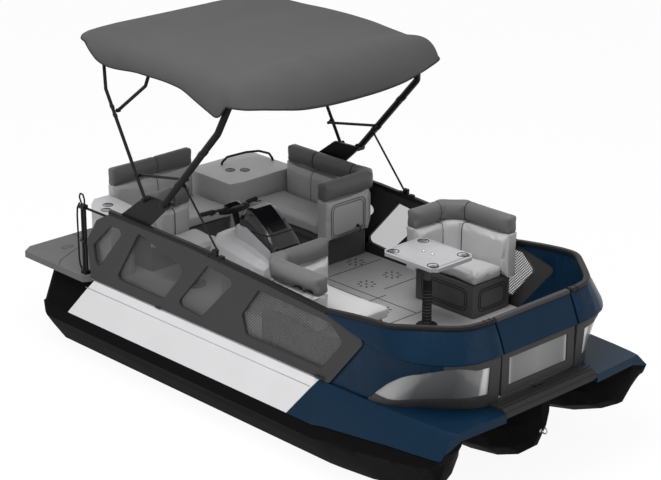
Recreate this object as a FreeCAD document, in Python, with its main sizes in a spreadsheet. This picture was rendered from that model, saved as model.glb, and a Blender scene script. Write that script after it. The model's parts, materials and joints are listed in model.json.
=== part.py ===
import FreeCAD
import Part
import Sketcher
import math
import os
from FreeCAD import Vector

# Tri-hull pontoon boat, millimetres. +X points to the bow, +Y to port, +Z up.
# The origin is on the floor, under the middle of the boat.

SIZES = {
    # whole boat
    "boat_length": 5420,
    "boat_beam": 2500,
    "clearance": 0.3,
    # hulls
    "hull_height": 700,
    "keel_width": 60,
    "rub_height": 420,
    "sponson_aft_setback": 380,
    "sponson_lip_drop": 8,
    "centre_aft_setback": 660,
    # side panels and bow fairings
    "panel_wall": 28,
    "panel_top_width": 55,
    "panel_height": 355,
    "panel_crease_drop": 97,
    "panel_crease_bulge": 35,
    "panel_aft_setback": 780,
    "panel_slant": 280,
    "panel_joint": 6,
    # deck
    "beam_height": 60,
    "beam_width": 80,
    "deck_thickness": 40,
    "platform_thickness": 60,
    "platform_corner": 110,
    "bow_step_height": 130,
    # side fences
    "fence_wall": 30,
    "fence_aft_height": 690,
    "fence_window_round": 40,
    "pane_wall": 4,
    "pane_border": 18,
    "rail_width": 56,
    "rail_height": 34,
    # bow fence
    "bow_panel_wall": 34,
    "bow_panel_height": 262,
    "bow_panel_lip": 22,
    "bow_rail_top": 1462,
    "bow_pane_wall": 6,
    "gate_gap": 6,
    "gate_post_width": 34,
    "gate_post_depth": 46,
    "gate_wall": 30,
    "gate_hinge_radius": 14,
    "gate_pin_radius": 7,
    # tower
    "tower_plate_wall": 24,
    "leg_radius": 30,
    "stay_radius": 15,
    "strut_radius": 9,
    # canopy
    "canopy_crown": 3060,
    "canopy_edge_drop": 190,
    "canopy_wall": 12,
    # seats
    "seat_top": 420,
    "cushion_thickness": 120,
    "cushion_round": 30,
    "back_height": 430,
    "pillow_height": 160,
    "base_inset": 20,
    # tables and console
    "table_corner_height": 600,
    "cup_radius": 42,
    "cup_depth": 80,
    "table_length": 620,
    "table_width": 500,
    "table_height": 650,
    "table_wall": 34,
    "table_sleeve_radius": 40,
    "table_sleeve_height": 320,
    "tow_post_half": 34,
    "bail_height": 96,
    "stern_rail_height": 60,
    "console_length": 720,
    "console_height": 630,
    "lid_barrel_radius": 8,
    "console_wall": 30,
    "stem_length": 150,
    "bar_radius": 11,
    "pin_radius": 9,
    "tower_plate_reach": 60,
    # jet drive
    "pump_radius": 95,
    "pump_length": 230,
    "pump_height": 230,
    "nozzle_length": 130,
    "impeller_radius": 75,
    "pump_bore": 80,
}

# Stations along the boat as shares of its half length
STATION_SHARES = {
    "panel_front_station": 0.3616,
    "deck_shoulder_station": 0.7159,
    "deck_corner_station": 0.8849,
    "deck_front_station": 0.9225,
    "fence_aft_station": -0.6421,
    "fence_front_station": 0.6531,
    "gate_top_station": 0.9004,
    "gate_base_station": 0.9391,
    "canopy_aft_station": -0.7417,
    "canopy_front_station": 0.1845,
    "platform_length": 0.3727,
}
# Distances from the centre line, and widths, as shares of the half beam
BREADTH_SHARES = {
    "sponson_keel_offset": 0.8000,
    "sponson_outer_top": 0.8760,
    "sponson_inner_top": 0.5120,
    "centre_hull_half_width": 0.2400,
    "wing_front_half_width": 0.4360,
    "deck_half_width": 0.8720,
    "deck_corner_half_width": 0.5888,
    "platform_half_width": 0.9520,
    "fence_outer": 0.9160,
    "tower_half_width": 0.9200,
    "canopy_half_width": 0.9520,
    "gate_half_width": 0.3440,
    "bar_half_width": 0.2480,
    "console_width": 0.5840,
}


class Length:
    """A length that carries its number and the sheet formula that gives it."""

    def __init__(self, number, formula):
        self.number = float(number)
        self.formula = formula

    def __float__(self):
        return self.number

    def __neg__(self):
        return Length(-self.number, f"(-1 * {self.formula})")

    def __add__(self, other):
        other = as_length(other)
        return Length(self.number + other.number, f"({self.formula} + {other.formula})")

    def __sub__(self, other):
        other = as_length(other)
        return Length(self.number - other.number, f"({self.formula} - {other.formula})")

    def __mul__(self, factor):
        return Length(self.number * factor, f"({self.formula} * {factor:.6f})")

    def __truediv__(self, factor):
        return Length(self.number / factor, f"({self.formula} / {factor:.6f})")

    __radd__ = __add__
    __rmul__ = __mul__


def as_length(value):
    """Zero and plain sums count as lengths too."""
    if isinstance(value, Length):
        return value
    return Length(value, f"{float(value):.6f}")


ZERO = Length(0, "0")
doc = FreeCAD.newDocument("PontoonBoat")
sheet = doc.addObject("Spreadsheet::Sheet", "Sizes")
for row, (alias, number) in enumerate(SIZES.items(), start=1):
    sheet.set(f"A{row}", alias)
    sheet.set(f"B{row}", str(number))
    sheet.setAlias(f"B{row}", alias)
doc.recompute()

PARTS = []


def size(alias):
    """The named size as a length bound to its cell, or to the boat's length or beam."""
    if alias in STATION_SHARES:
        return size("boat_length") / 2 * STATION_SHARES[alias]
    if alias in BREADTH_SHARES:
        return size("boat_beam") / 2 * BREADTH_SHARES[alias]
    return Length(getattr(sheet, alias), f"Sizes.{alias}")


def point(x, y, z):
    """A vector from three lengths."""
    return Vector(float(x), float(y), float(z))


def keep(thing, node):
    """Names a finished sub-part and lists it for export."""
    thing.Label = node
    PARTS.append((node, thing))
    return thing


def shaped(node, shape):
    """A sub-part whose form no primitive or sketch fits."""
    feature = doc.addObject("Part::Feature", node)
    feature.Shape = shape
    return keep(feature, node)


def mirrored(shape):
    """The same shape on the other side of the centre line."""
    return shape.mirror(Vector(0, 0, 0), Vector(0, 1, 0))


def draw(body, name, role, loops):
    """Closed outlines on an origin plane, each corner held by the sheet."""
    plane = [item for item in body.Origin.OriginFeatures if item.Role == role][0]
    sketch = body.newObject("Sketcher::SketchObject", name)
    sketch.AttachmentSupport = [(plane, "")]
    sketch.MapMode = "FlatFace"
    first = 0
    for loop in loops:
        corners = [Vector(float(across), float(up), 0) for across, up in loop]
        count = len(corners)
        lines = [Part.LineSegment(corners[i], corners[(i + 1) % count]) for i in range(count)]
        sketch.addGeometry(lines, False)
        links = [Sketcher.Constraint("Coincident", first + i, 2, first + (i + 1) % count, 1)
                 for i in range(count)]
        sketch.addConstraint(links)
        for i, (across, up) in enumerate(loop):
            for kind, length in (("DistanceX", across), ("DistanceY", up)):
                rule = Sketcher.Constraint(kind, -1, 1, first + i, 1, float(length))
                index = sketch.addConstraint(rule)
                sketch.setExpression(f"Constraints[{index}]", length.formula)
        first += count
    return sketch


def slab(node, role, loops, start, thickness):
    """A plate: outlines on a plane, padded along its normal from start."""
    body = doc.addObject("PartDesign::Body", node)
    sketch = draw(body, f"{node}_outline", role, loops)
    pad = body.newObject("PartDesign::Pad", f"{node}_pad")
    pad.Profile = sketch
    pad.setExpression("Length", thickness.formula)
    axis = {"XY_Plane": "z", "XZ_Plane": "y", "YZ_Plane": "x"}[role]
    body.setExpression(f"Placement.Base.{axis}", start.formula)
    doc.recompute()
    return keep(body, node)


def along(edge, direction):
    """True for a straight edge that runs along a direction."""
    start, end = edge.Vertexes[0].Point, edge.Vertexes[-1].Point
    return (end - start).Length > 0 and (end - start).cross(direction).Length < 1e-6 * edge.Length


def rounded(body, name, wanted, radius):
    """Rounds the edges of a body's tip that the test wants."""
    tip = body.Tip
    names = [f"Edge{i}" for i, edge in enumerate(tip.Shape.Edges, start=1) if wanted(edge)]
    fillet = body.newObject("PartDesign::Fillet", name)
    fillet.Base = (tip, names)
    fillet.setExpression("Radius", radius.formula)
    doc.recompute()
    return body


def rectangle(low_across, low_up, high_across, high_up):
    """The four corners of an upright rectangle."""
    return [(low_across, low_up), (high_across, low_up), (high_across, high_up), (low_across, high_up)]


def spread(shares, left, width, bottom, height):
    """An outline given as shares of a width and a height."""
    return [(left + width * across, bottom + height * up) for across, up in shares]


def wire(points):
    """A closed wire through points."""
    return Part.makePolygon(points + points[:1])


def ruled(sections):
    """A solid with straight lines between matching corners of its sections."""
    return Part.makeLoft([wire(section) for section in sections], True, True)


def tube(points, radius, bend):
    """A round bar along straight runs joined by bends."""
    edges = []
    start = points[0]
    for here, onward in zip(points[1:-1], points[2:]):
        back = (start - here).normalize()
        ahead = (onward - here).normalize()
        half = back.getAngle(ahead) / 2
        reach = bend / math.tan(half)
        entry = here + back * reach
        leave = here + ahead * reach
        middle = here + (back + ahead).normalize() * (bend / math.sin(half) - bend)
        edges.append(Part.makeLine(start, entry))
        edges.append(Part.Arc(entry, middle, leave).toShape())
        start = leave
    edges.append(Part.makeLine(start, points[-1]))
    path = Part.Wire(edges)
    ring = Part.Wire(Part.makeCircle(radius, points[0], points[1] - points[0]))
    return path.makePipeShell([ring], True, False, 2)


def rod(start, end, radius):
    """A straight round bar."""
    return Part.makeCylinder(radius, (end - start).Length, start, end - start)


def block(low, high):
    """A box between two opposite corners."""
    span = high - low
    return Part.makeBox(span.x, span.y, span.z, low)


# Heights and ends that many pieces share

HALF_LENGTH = size("boat_length") / 2
HULL_TOP = size("hull_height")
BEAM_TOP = HULL_TOP + size("beam_height")
DECK_TOP = BEAM_TOP + size("deck_thickness")
PANEL_TOP = size("rub_height") + size("panel_height")
SIDES = {"starboard": -1, "port": 1}

# Each station of a side hull: x share of the half length, height share of its keel and of
# its rub line, and how far its rub line, outer top and inner top draw in, as shares of the
# half beam
SPONSON_SHARES = [
    (0.470, 0.000, 0.600, 0.000, 0.000, 0.000),
    (0.520, 0.012, 0.640, 0.000, 0.000, 0.000),
    (0.650, 0.060, 0.700, 0.000, 0.002, -0.008),
    (0.786, 0.170, 0.765, 0.003, 0.010, -0.040),
    (0.886, 0.310, 0.795, 0.010, 0.024, -0.104),
    (0.937, 0.420, 0.810, 0.016, 0.036, -0.184),
    (0.960, 0.640, 0.818, 0.020, 0.042, -0.240),
    (0.980, 0.790, 0.826, 0.024, 0.050, -0.280),
    (0.9926, 0.900, 0.930, 0.034, 0.056, -0.300),
]
KEEL_DRIFT = 0.35


def sponson_points(x, rise, rub_share, rub_in, top_in, inner_in):
    """The section of a side hull at a station, on the port side."""
    half = float(size("boat_beam")) / 2
    rub = half - float(size("panel_wall")) - rub_in * half
    top = float(size("sponson_outer_top")) - top_in * half
    inner = float(size("sponson_inner_top")) - inner_in * half
    keel = float(size("sponson_keel_offset")) - inner_in * half * KEEL_DRIFT
    height = float(HULL_TOP)
    low = rise * height
    rub_z = rub_share * height
    lip = float(size("sponson_lip_drop"))
    wall = float(size("panel_wall"))
    keel_half = min(float(size("keel_width")) / 2, (rub - inner) / 8)
    fall = rub_z - lip - low
    return [
        Vector(x, top, height),
        Vector(x, rub, rub_z),
        Vector(x, rub + wall * 0.8, rub_z - lip),
        Vector(x, rub + wall * 0.4, low + fall * 0.70),
        Vector(x, keel + (rub - keel) * 0.68, low + fall * 0.40),
        Vector(x, keel + keel_half, low),
        Vector(x, keel - keel_half, low),
        Vector(x, inner + (keel - inner) * 0.44, low + (height - low) * 0.15),
        Vector(x, inner + (keel - inner) * 0.11, low + (height - low) * 0.46),
        Vector(x, inner, height),
    ]


SPONSON_STERN = (0.05, 0.600, 0.020, 0.010, -0.020)


def side_section():
    """The section of a side hull amidships."""
    return sponson_points(0, 0, float(size("rub_height")) / float(HULL_TOP), 0, 0, 0)


def sponson_stations():
    """Sections of a side hull from the rounded stern to the stem."""
    aft = float(size("sponson_aft_setback") - HALF_LENGTH)
    sections = [sponson_points(aft, *SPONSON_STERN)]
    straight = side_section()
    start = aft + float(size("platform_corner")) / 2
    sections.append([Vector(start, place.y, place.z) for place in straight])
    for share, rise, rub_share, rub_in, top_in, inner_in in SPONSON_SHARES:
        x = share * float(HALF_LENGTH)
        sections.append(sponson_points(x, rise, rub_share, rub_in, top_in, inner_in))
    return sections


def build_sponsons():
    hull = ruled(sponson_stations())
    shaped("sponson_port", hull)
    shaped("sponson_starboard", mirrored(hull))


# Stations of the middle hull: x share, keel height share, half width share
CENTRE_SHARES = [
    (0.520, 0.000, 1.00),
    (0.700, 0.030, 0.97),
    (0.805, 0.090, 0.86),
    (0.885, 0.210, 0.64),
    (0.940, 0.380, 0.40),
    (0.974, 0.680, 0.16),
]


def centre_points(x, rise, narrow):
    """The section of the middle hull at a station."""
    height = float(HULL_TOP)
    half = float(size("centre_hull_half_width")) * narrow
    keel = min(float(size("keel_width")) / 2, half / 3)
    low = rise * height
    side = [(half, 1), (half * 0.96, 0.5), (half * 0.55, 0.16), (keel, 0)]
    right = [Vector(x, y, low + share * (height - low)) for y, share in side]
    left = [Vector(x, -y, low + share * (height - low)) for y, share in reversed(side)]
    return right + left


ENGINE_SHARES = ((-0.62, -0.40), (-0.085, 0.085), (0.30, 0.72))


def build_centre_hull():
    aft = float(size("centre_aft_setback") - HALF_LENGTH)
    sections = [centre_points(aft, 0, 1)]
    for share, rise, narrow in CENTRE_SHARES:
        sections.append(centre_points(share * float(HALF_LENGTH), rise, narrow))
    hull = ruled(sections)
    (x_low, x_high), (y_low, y_high), (z_low, z_high) = ENGINE_SHARES
    half, top = float(HALF_LENGTH), float(HULL_TOP)
    low = Vector(x_low * half, y_low * half / 2, z_low * top)
    high = Vector(x_high * half, y_high * half / 2, z_high * top)
    room = float(size("cushion_round"))
    bay = block(low - Vector(room, room, 0), high + Vector(room, room, room))
    shaped("hull_center", hull.cut(bay))
    shaped("engine_block", block(low, high))


def panel_section(points):
    """The shell outside a hull section: flush top, crease and rub line."""
    top, rub = points[0], points[1]
    wall = float(size("panel_wall"))
    width = float(size("panel_top_width"))
    shell_top = float(PANEL_TOP)
    fall = shell_top - rub.z
    crease = shell_top - float(size("panel_crease_drop")) * fall / float(size("panel_height"))
    bulge = float(size("panel_crease_bulge"))
    x = top.x
    return [
        Vector(x, top.y, top.z),
        Vector(x, top.y, shell_top),
        Vector(x, top.y + width, shell_top),
        Vector(x, top.y + width + bulge, crease),
        Vector(x, rub.y + wall, rub.z),
        Vector(x, rub.y, rub.z),
    ]


def slanted(section, bottom_x):
    """The same section leaning forward as it rises."""
    rise = float(size("panel_slant")) / float(size("panel_height"))
    base = float(size("rub_height"))
    return [Vector(bottom_x + (p.z - base) * rise, p.y, p.z) for p in section]


def build_side_panels():
    aft = float(size("panel_aft_setback") - HALF_LENGTH)
    front = float(size("panel_front_station"))
    section = panel_section(side_section())
    panel = ruled([slanted(section, aft), slanted(section, front)])
    shaped("side_panel_port", panel)
    shaped("side_panel_starboard", mirrored(panel))


def deck_edge():
    """The deck's outline at the bow, on the port side."""
    return [
        (size("deck_shoulder_station"), size("deck_half_width")),
        (size("deck_corner_station"), size("deck_corner_half_width")),
        (size("deck_front_station"), size("wing_front_half_width")),
    ]


def deck_room(height):
    """The room round the deck's port half, carried up from the beams."""
    deck = [(ZERO, ZERO), (ZERO, size("deck_half_width"))] + deck_edge()
    deck += [(size("deck_front_station"), ZERO)]
    around = wire([point(x, y, BEAM_TOP) for x, y in deck]).makeOffset2D(float(size("clearance")))
    return Part.Face(around).extrude(Vector(0, 0, float(height)))


def build_bow_fairings():
    """The white sides from the shoulder to the bow tips, with the deck's wings on top."""
    front = float(size("panel_front_station") + size("panel_joint"))
    stations = sponson_stations()[2:]
    sections = [slanted(panel_section(side_section()), front)]
    sections += [panel_section(points) for points in stations]
    side = ruled(sections)
    gap = float(size("clearance"))
    outer = [Vector(points[0].x, points[0].y, float(HULL_TOP)) for points in stations
             if points[0].x > float(size("deck_shoulder_station"))]
    shoulder = point(size("deck_shoulder_station"), size("deck_half_width") + size("clearance"), HULL_TOP)
    tip = Vector(float(HALF_LENGTH), float(size("wing_front_half_width")), float(HULL_TOP))
    inner = [Vector(float(x) + gap, float(y) + gap, float(HULL_TOP)) for x, y in reversed(deck_edge())]
    inner[0].y = tip.y
    boundary = outer + [tip] + inner[:-1] + [shoulder]
    plate = Part.Face(wire(boundary)).extrude(Vector(0, 0, float(PANEL_TOP - HULL_TOP)))
    fairing = side.fuse(plate).removeSplitter().cut(deck_room(size("deck_thickness") * 2))
    shaped("bow_fairing_port", fairing)
    shaped("bow_fairing_starboard", mirrored(fairing))


BEAM_STATION_SHARES = (-0.61, -0.403, -0.196, 0.011, 0.218, 0.425, 0.632, 0.84)
RUNNER_SHARES = (-0.72, -0.10, 0.10, 0.72)


def build_deck_beams():
    """Cross beams on the hull tops, joined by two runners."""
    half = float(size("sponson_outer_top"))
    width = float(size("beam_width"))
    low, high = float(HULL_TOP), float(BEAM_TOP)
    beams = None
    for share in BEAM_STATION_SHARES:
        x = share * float(HALF_LENGTH)
        if x > float(size("deck_shoulder_station")):
            reach = float(size("deck_corner_half_width"))
        elif x > float(size("panel_front_station")):
            reach = float(size("deck_half_width") - size("panel_top_width"))
        else:
            reach = half
        beam = block(Vector(x, -reach, low), Vector(x + width, reach, high))
        beams = beam if beams is None else beams.fuse(beam)
    first = BEAM_STATION_SHARES[0] * float(HALF_LENGTH)
    last = BEAM_STATION_SHARES[-1] * float(HALF_LENGTH)
    aft = float(size("sponson_aft_setback") - HALF_LENGTH)
    lower = float(DECK_TOP - size("platform_thickness"))
    for share in RUNNER_SHARES:
        y = share * float(size("deck_half_width")) - width / 2
        end = last if abs(share) < 0.5 else first
        beams = beams.fuse(block(Vector(first, y, low), Vector(end + width, y + width, high)))
        beams = beams.fuse(block(Vector(aft + width, y, low), Vector(first, y + width, lower)))
    shaped("deck_frame", beams.removeSplitter())


def build_deck():
    seam = size("platform_length") - HALF_LENGTH + size("panel_joint") / 3
    half = size("deck_half_width")
    port = [(x, y) for x, y in deck_edge()]
    star = [(x, -y) for x, y in reversed(port)]
    outline = [(seam, -half), (seam, half)] + port + star
    slab("deck_floor", "XY_Plane", [outline], BEAM_TOP, size("deck_thickness"))


def build_platform():
    aft = -HALF_LENGTH
    fore = size("platform_length") - HALF_LENGTH
    half = size("platform_half_width")
    cut = size("platform_corner")
    inner = size("sponson_outer_top")
    waist = size("platform_length") * 0.94 - HALF_LENGTH
    outline = [(aft, cut - half), (aft + cut * 0.7, -half), (waist, -half), (fore, -inner),
               (fore, inner), (waist, half), (aft + cut * 0.7, half), (aft, half - cut)]
    body = slab("swim_platform", "XY_Plane", [outline], DECK_TOP - size("platform_thickness"),
                size("platform_thickness"))
    return body


BOW_STEP_SHARES = [(0, 0), (0.60, 0), (0.62, 0.10), (0.90, 0.18), (0.90, 0.42), (1, 0.46), (1, 0.70),
                   (0.93, 0.74), (0.93, 0.82), (0.86, 0.90), (0.80, 1), (0.74, 1), (0.72, 1.07), (0.66, 1.07),
                   (0.64, 1), (0.54, 1), (0.52, 1.07), (0.46, 1.07), (0.44, 1), (0, 1)]


def build_bow_step():
    """The dark boarding step across the bow, with its rounded nose."""
    start = size("deck_front_station") + size("clearance")
    reach = HALF_LENGTH - start
    height = size("bow_step_height")
    raised = height - size("deck_thickness") * 0.75
    outline = spread(BOW_STEP_SHARES, start, reach, DECK_TOP - raised, raised)
    half = size("wing_front_half_width")
    slab("bow_step", "XZ_Plane", [outline], half, half * 2)


# Fence outlines as shares of its length and aft height
FENCE_SHARES = [(0.015, 0), (0.885, 0), (1, 0.70), (0.87, 0.845), (0.60, 0.93), (0.40, 0.985),
                (0.095, 1), (0.045, 0.86), (0, 0.52)]
WINDOW_SHARES = [
    [(0.037, 0.16), (0.157, 0.87), (0.100, 0.85), (0.027, 0.50)],
    [(0.115, 0.16), (0.300, 0.16), (0.385, 0.64), (0.370, 0.70), (0.212, 0.91)],
    [(0.350, 0.17), (0.440, 0.13), (0.570, 0.79), (0.470, 0.85)],
    [(0.605, 0.15), (0.860, 0.14), (0.930, 0.58), (0.890, 0.76), (0.650, 0.80), (0.590, 0.40)],
]


def fence_frame():
    """Where the fence outline starts and how far it runs."""
    left = size("fence_aft_station")
    return left, size("fence_front_station") - left, PANEL_TOP, size("fence_aft_height")


def build_fences():
    left, width, bottom, height = fence_frame()
    loops = [spread(FENCE_SHARES, left, width, bottom, height)]
    loops += [spread(shares, left, width, bottom, height) for shares in WINDOW_SHARES]
    wall = size("fence_wall")
    outer = size("fence_outer")
    for side, sign in SIDES.items():
        start = outer if sign > 0 else wall - outer
        body = slab(f"fence_panel_{side}", "XZ_Plane", loops, start, wall)
        rounded(body, f"fence_round_{side}", lambda edge: along(edge, Vector(0, 1, 0)),
                size("fence_window_round"))


def build_panes():
    """Smoked panes and mesh behind the fence windows."""
    left, width, bottom, height = fence_frame()
    wall = float(size("pane_wall"))
    inner = float(size("fence_outer") - size("fence_wall"))
    panes = []
    for shares in WINDOW_SHARES:
        corners = [Vector(float(x), inner - wall, float(z))
                   for x, z in spread(shares, left, width, bottom, height)]
        edge = wire(corners).makeOffset2D(float(size("pane_border")))
        panes.append(Part.Face(edge).extrude(Vector(0, wall, 0)))
    shaped("fence_panes", Part.makeCompound(panes + [mirrored(pane) for pane in panes]))


def crest_height(share):
    """Height of the fence's top edge at a share of its length."""
    left, width, bottom, height = fence_frame()
    line = sorted(FENCE_SHARES[3:7])
    for (x0, z0), (x1, z1) in zip(line, line[1:]):
        if x0 <= share <= x1:
            return float(bottom + height * (z0 + (z1 - z0) * (share - x0) / (x1 - x0)))
    return float(bottom + height)


# Poles of the bow fence's smooth lines on the port side. Plan places are shares of the
# bow's run and half width; heights are shares of the blue panel's height below its top:
# rail x, rail y, rail drop, crease x, crease y, crease drop, foot x, foot y
BOW_POLE_SHARES = [
    (0.000, 1.000, 0.240, 0.000, 1.004, 0.396, 0.000, 0.987),
    (0.251, 1.000, 0.090, 0.251, 1.009, 0.651, 0.233, 0.987),
    (0.452, 1.000, 0.010, 0.507, 1.013, 0.847, 0.416, 0.987),
    (0.589, 0.996, 0.000, 0.690, 1.004, 0.898, 0.571, 0.978),
    (0.689, 0.913, 0.000, 0.836, 0.943, 0.965, 0.680, 0.886),
    (0.845, 0.786, 0.000, 0.982, 0.821, 1.000, 0.872, 0.725),
    (1.005, 0.651, 0.000, 1.105, 0.672, 1.000, 1.018, 0.603),
    (1.032, 0.524, 0.000, 1.123, 0.524, 1.000, 1.073, 0.498),
    (1.032, 0.395, 0.000, 1.123, 0.395, 1.000, 1.087, 0.395),
]
# Stations along those lines with the window's sill and head as shares of the wall's height
BOW_STATION_SHARES = [
    (0.000, 0.000, 0.000), (0.045, 0.000, 0.000), (0.090, 0.000, 0.000), (0.130, 0.030, 0.030),
    (0.165, 0.150, 0.175), (0.200, 0.135, 0.300), (0.235, 0.120, 0.410), (0.275, 0.120, 0.500),
    (0.315, 0.130, 0.570), (0.355, 0.145, 0.630), (0.405, 0.165, 0.690), (0.455, 0.180, 0.740),
    (0.510, 0.195, 0.780), (0.585, 0.210, 0.850), (0.660, 0.220, 0.910), (0.740, 0.230, 0.940),
    (0.800, 0.235, 0.915), (0.875, 0.245, 0.850), (0.955, 0.260, 0.840), (1.000, 0.260, 0.840),
]
BOW_SPLIT_SHARES = {"frame": 0.130, "window": 0.165, "lobe": 0.660, "post": 0.955}
BOW_START_SHARE = 0.76
PANEL_RIDGE_SHARES = (0.45, 0.12)
LIP_DROP_SHARE = 0.8
PLANE_HALVINGS = 40
# The levels of one station's wall, in this order
FOOT, SILL, HEAD, CREASE = range(4)


def bow_curve(rows):
    """A smooth curve held by a row of poles."""
    curve = Part.BSplineCurve()
    curve.buildFromPoles(rows)
    return curve


def bow_lines():
    """Rail, crease and foot curves of the bow fence on the port side."""
    start = float(size("fence_front_station")) * BOW_START_SHARE
    run = float(size("gate_top_station")) - start
    half = float(size("fence_outer"))
    crest = float(size("bow_rail_top"))
    fall = float(size("bow_panel_height"))
    foot = float(PANEL_TOP + size("clearance"))
    rail, crease, base = [], [], []
    for rail_x, rail_y, rail_drop, crease_x, crease_y, crease_drop, foot_x, foot_y in BOW_POLE_SHARES:
        rail.append(Vector(start + run * rail_x, half * rail_y, crest - fall * rail_drop))
        crease.append(Vector(start + run * crease_x, half * crease_y, crest - fall * crease_drop))
        base.append(Vector(start + run * foot_x, half * foot_y, foot))
    return [bow_curve(rows) for rows in (rail, crease, base)]


def reach_in(curve, share):
    """The level direction into the boat at a share of a curve."""
    ahead = curve.tangent(share)[0]
    return Vector(ahead.y, -ahead.x, 0).normalize()


def square_to(curve, place, ahead):
    """Where a curve crosses the upright plane that stands square to a direction at a place."""
    low, high = 0, 1
    for _ in range(PLANE_HALVINGS):
        middle = (low + high) / 2
        if (curve.value(middle) - place).dot(ahead) < 0:
            low = middle
        else:
            high = middle
    return curve.value(high)


def bow_section(lines, share):
    """Rail, crease and foot places in one plane across the bow fence, and the way in."""
    rail, crease, base = lines
    place = crease.value(share)
    inside = reach_in(crease, share)
    ahead = Vector(-inside.y, inside.x, 0)
    return square_to(rail, place, ahead), place, square_to(base, place, ahead), inside


def under_crease(edge, inside):
    """The inner end of the short return under the crease."""
    lip = float(size("bow_panel_lip"))
    return edge + inside * lip - Vector(0, 0, lip * LIP_DROP_SHARE)


def panel_ring(lines, share):
    """Section of the blue upper panel: top, ridge, crease and a short return."""
    top, edge, _, inside = bow_section(lines, share)
    wall = float(size("bow_panel_wall"))
    lip = float(size("bow_panel_lip"))
    top = top - Vector(0, 0, float(size("rail_height")))
    along_share, out_share = PANEL_RIDGE_SHARES
    ridge = top + (edge - top) * along_share - inside * (wall * out_share)
    under = under_crease(edge, inside)
    return [top, ridge, edge, under, under + inside * (wall - lip / 2), top + inside * wall]


def wall_ring(lines, share, low, high, sunk, thick):
    """Section of the wall under the crease between two shares of its height."""
    _, edge, foot, inside = bow_section(lines, share)
    top = under_crease(edge, inside) - Vector(0, 0, float(size("clearance")))
    upper, lower = foot + (top - foot) * high, foot + (top - foot) * low
    return [lower + inside * sunk, upper + inside * sunk, upper + inside * (sunk + thick),
            lower + inside * (sunk + thick)]


def wall_strip(lines, span, low, high, sunk, thick):
    """The wall along a span of shares, between two of its stations' levels."""
    rings = []
    for share, sill, head in BOW_STATION_SHARES:
        levels = (0, sill, head, 1)
        if span[0] <= share <= span[1]:
            rings.append(wall_ring(lines, share, levels[low], levels[high], sunk, thick))
    return ruled(rings)


def bow_floor():
    """The room that the deck and the bow step fill under the bow fence."""
    gap = size("clearance")
    plate = deck_room(size("deck_thickness") + gap)
    step = block(point(size("deck_front_station"), ZERO, BEAM_TOP),
                 point(HALF_LENGTH, size("wing_front_half_width") + gap, DECK_TOP + gap))
    return plate.fuse(step)


def fence_shadow():
    """The port fence's outline carried through the whole thickness of the bow fence."""
    skin = max(doc.getObject("fence_panel_port").Shape.Faces, key=lambda face: face.Area)
    reach = float(size("fence_wall")) * 4
    face = Part.Face(skin.OuterWire)
    face.translate(Vector(0, -reach, 0))
    return face.extrude(Vector(0, reach * 2, 0))


def bow_skin(lines):
    """Blue upper panel of the bow fence, with the lobe that closes the fence's front edge."""
    wall = float(size("bow_panel_wall"))
    sections = []
    for share, sill, head in BOW_STATION_SHARES:
        ring = panel_ring(lines, share)
        if share <= BOW_SPLIT_SHARES["lobe"]:
            edges = wall_ring(lines, share, head, 1, 0, wall)
            sections.append(ring[:4] + [edges[0], edges[3], ring[5]])
    front = [panel_ring(lines, row[0]) for row in BOW_STATION_SHARES if row[0] >= BOW_SPLIT_SHARES["lobe"]]
    return ruled(sections).fuse(ruled(front))


def build_bow_fence():
    """Blue upper panel with its side lobe, the frame and the smoked window."""
    lines = bow_lines()
    wall = float(size("bow_panel_wall"))
    floor = bow_floor()
    split = BOW_SPLIT_SHARES

    panel = bow_skin(lines).cut(fence_shadow()).cut(floor)
    frame = wall_strip(lines, (split["frame"], 1), FOOT, SILL, 0, wall)
    frame = frame.fuse(wall_strip(lines, (split["lobe"], 1), HEAD, CREASE, 0, wall))
    frame = frame.fuse(wall_strip(lines, (split["post"], 1), FOOT, CREASE, 0, wall))
    frame = frame.cut(floor)
    thick = float(size("bow_pane_wall"))
    pane = wall_strip(lines, (split["window"], split["post"]), SILL, HEAD, thick * 1.5, thick)
    shaped("bow_panel_port", panel)
    shaped("bow_panel_starboard", mirrored(panel))
    shaped("bow_frame_port", frame)
    shaped("bow_frame_starboard", mirrored(frame))
    shaped("bow_windows", Part.makeCompound([pane, mirrored(pane)]))


# The gate's lower panel: shares of its width and height
GATE_HOLE_SHARES = [(0.10, 0.20), (0.90, 0.20), (0.90, 0.86), (0.10, 0.86)]
CAP_SHARES = [(-0.8, 0), (0.8, 0), (1, 0.25), (1, 0.65), (0.7, 1), (-0.7, 1), (-1, 0.65), (-1, 0.25)]


def cap_ring(place, inside, bottom):
    """Section of the grab rail on top of the fences at a place on its outer line."""
    half = float(size("rail_width")) / 2
    tall = float(size("rail_height"))
    middle = Vector(place.x, place.y, bottom + float(size("clearance"))) + inside * (half * 0.85)
    return [middle - inside * (half * across) + Vector(0, 0, tall * up) for across, up in CAP_SHARES]


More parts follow.
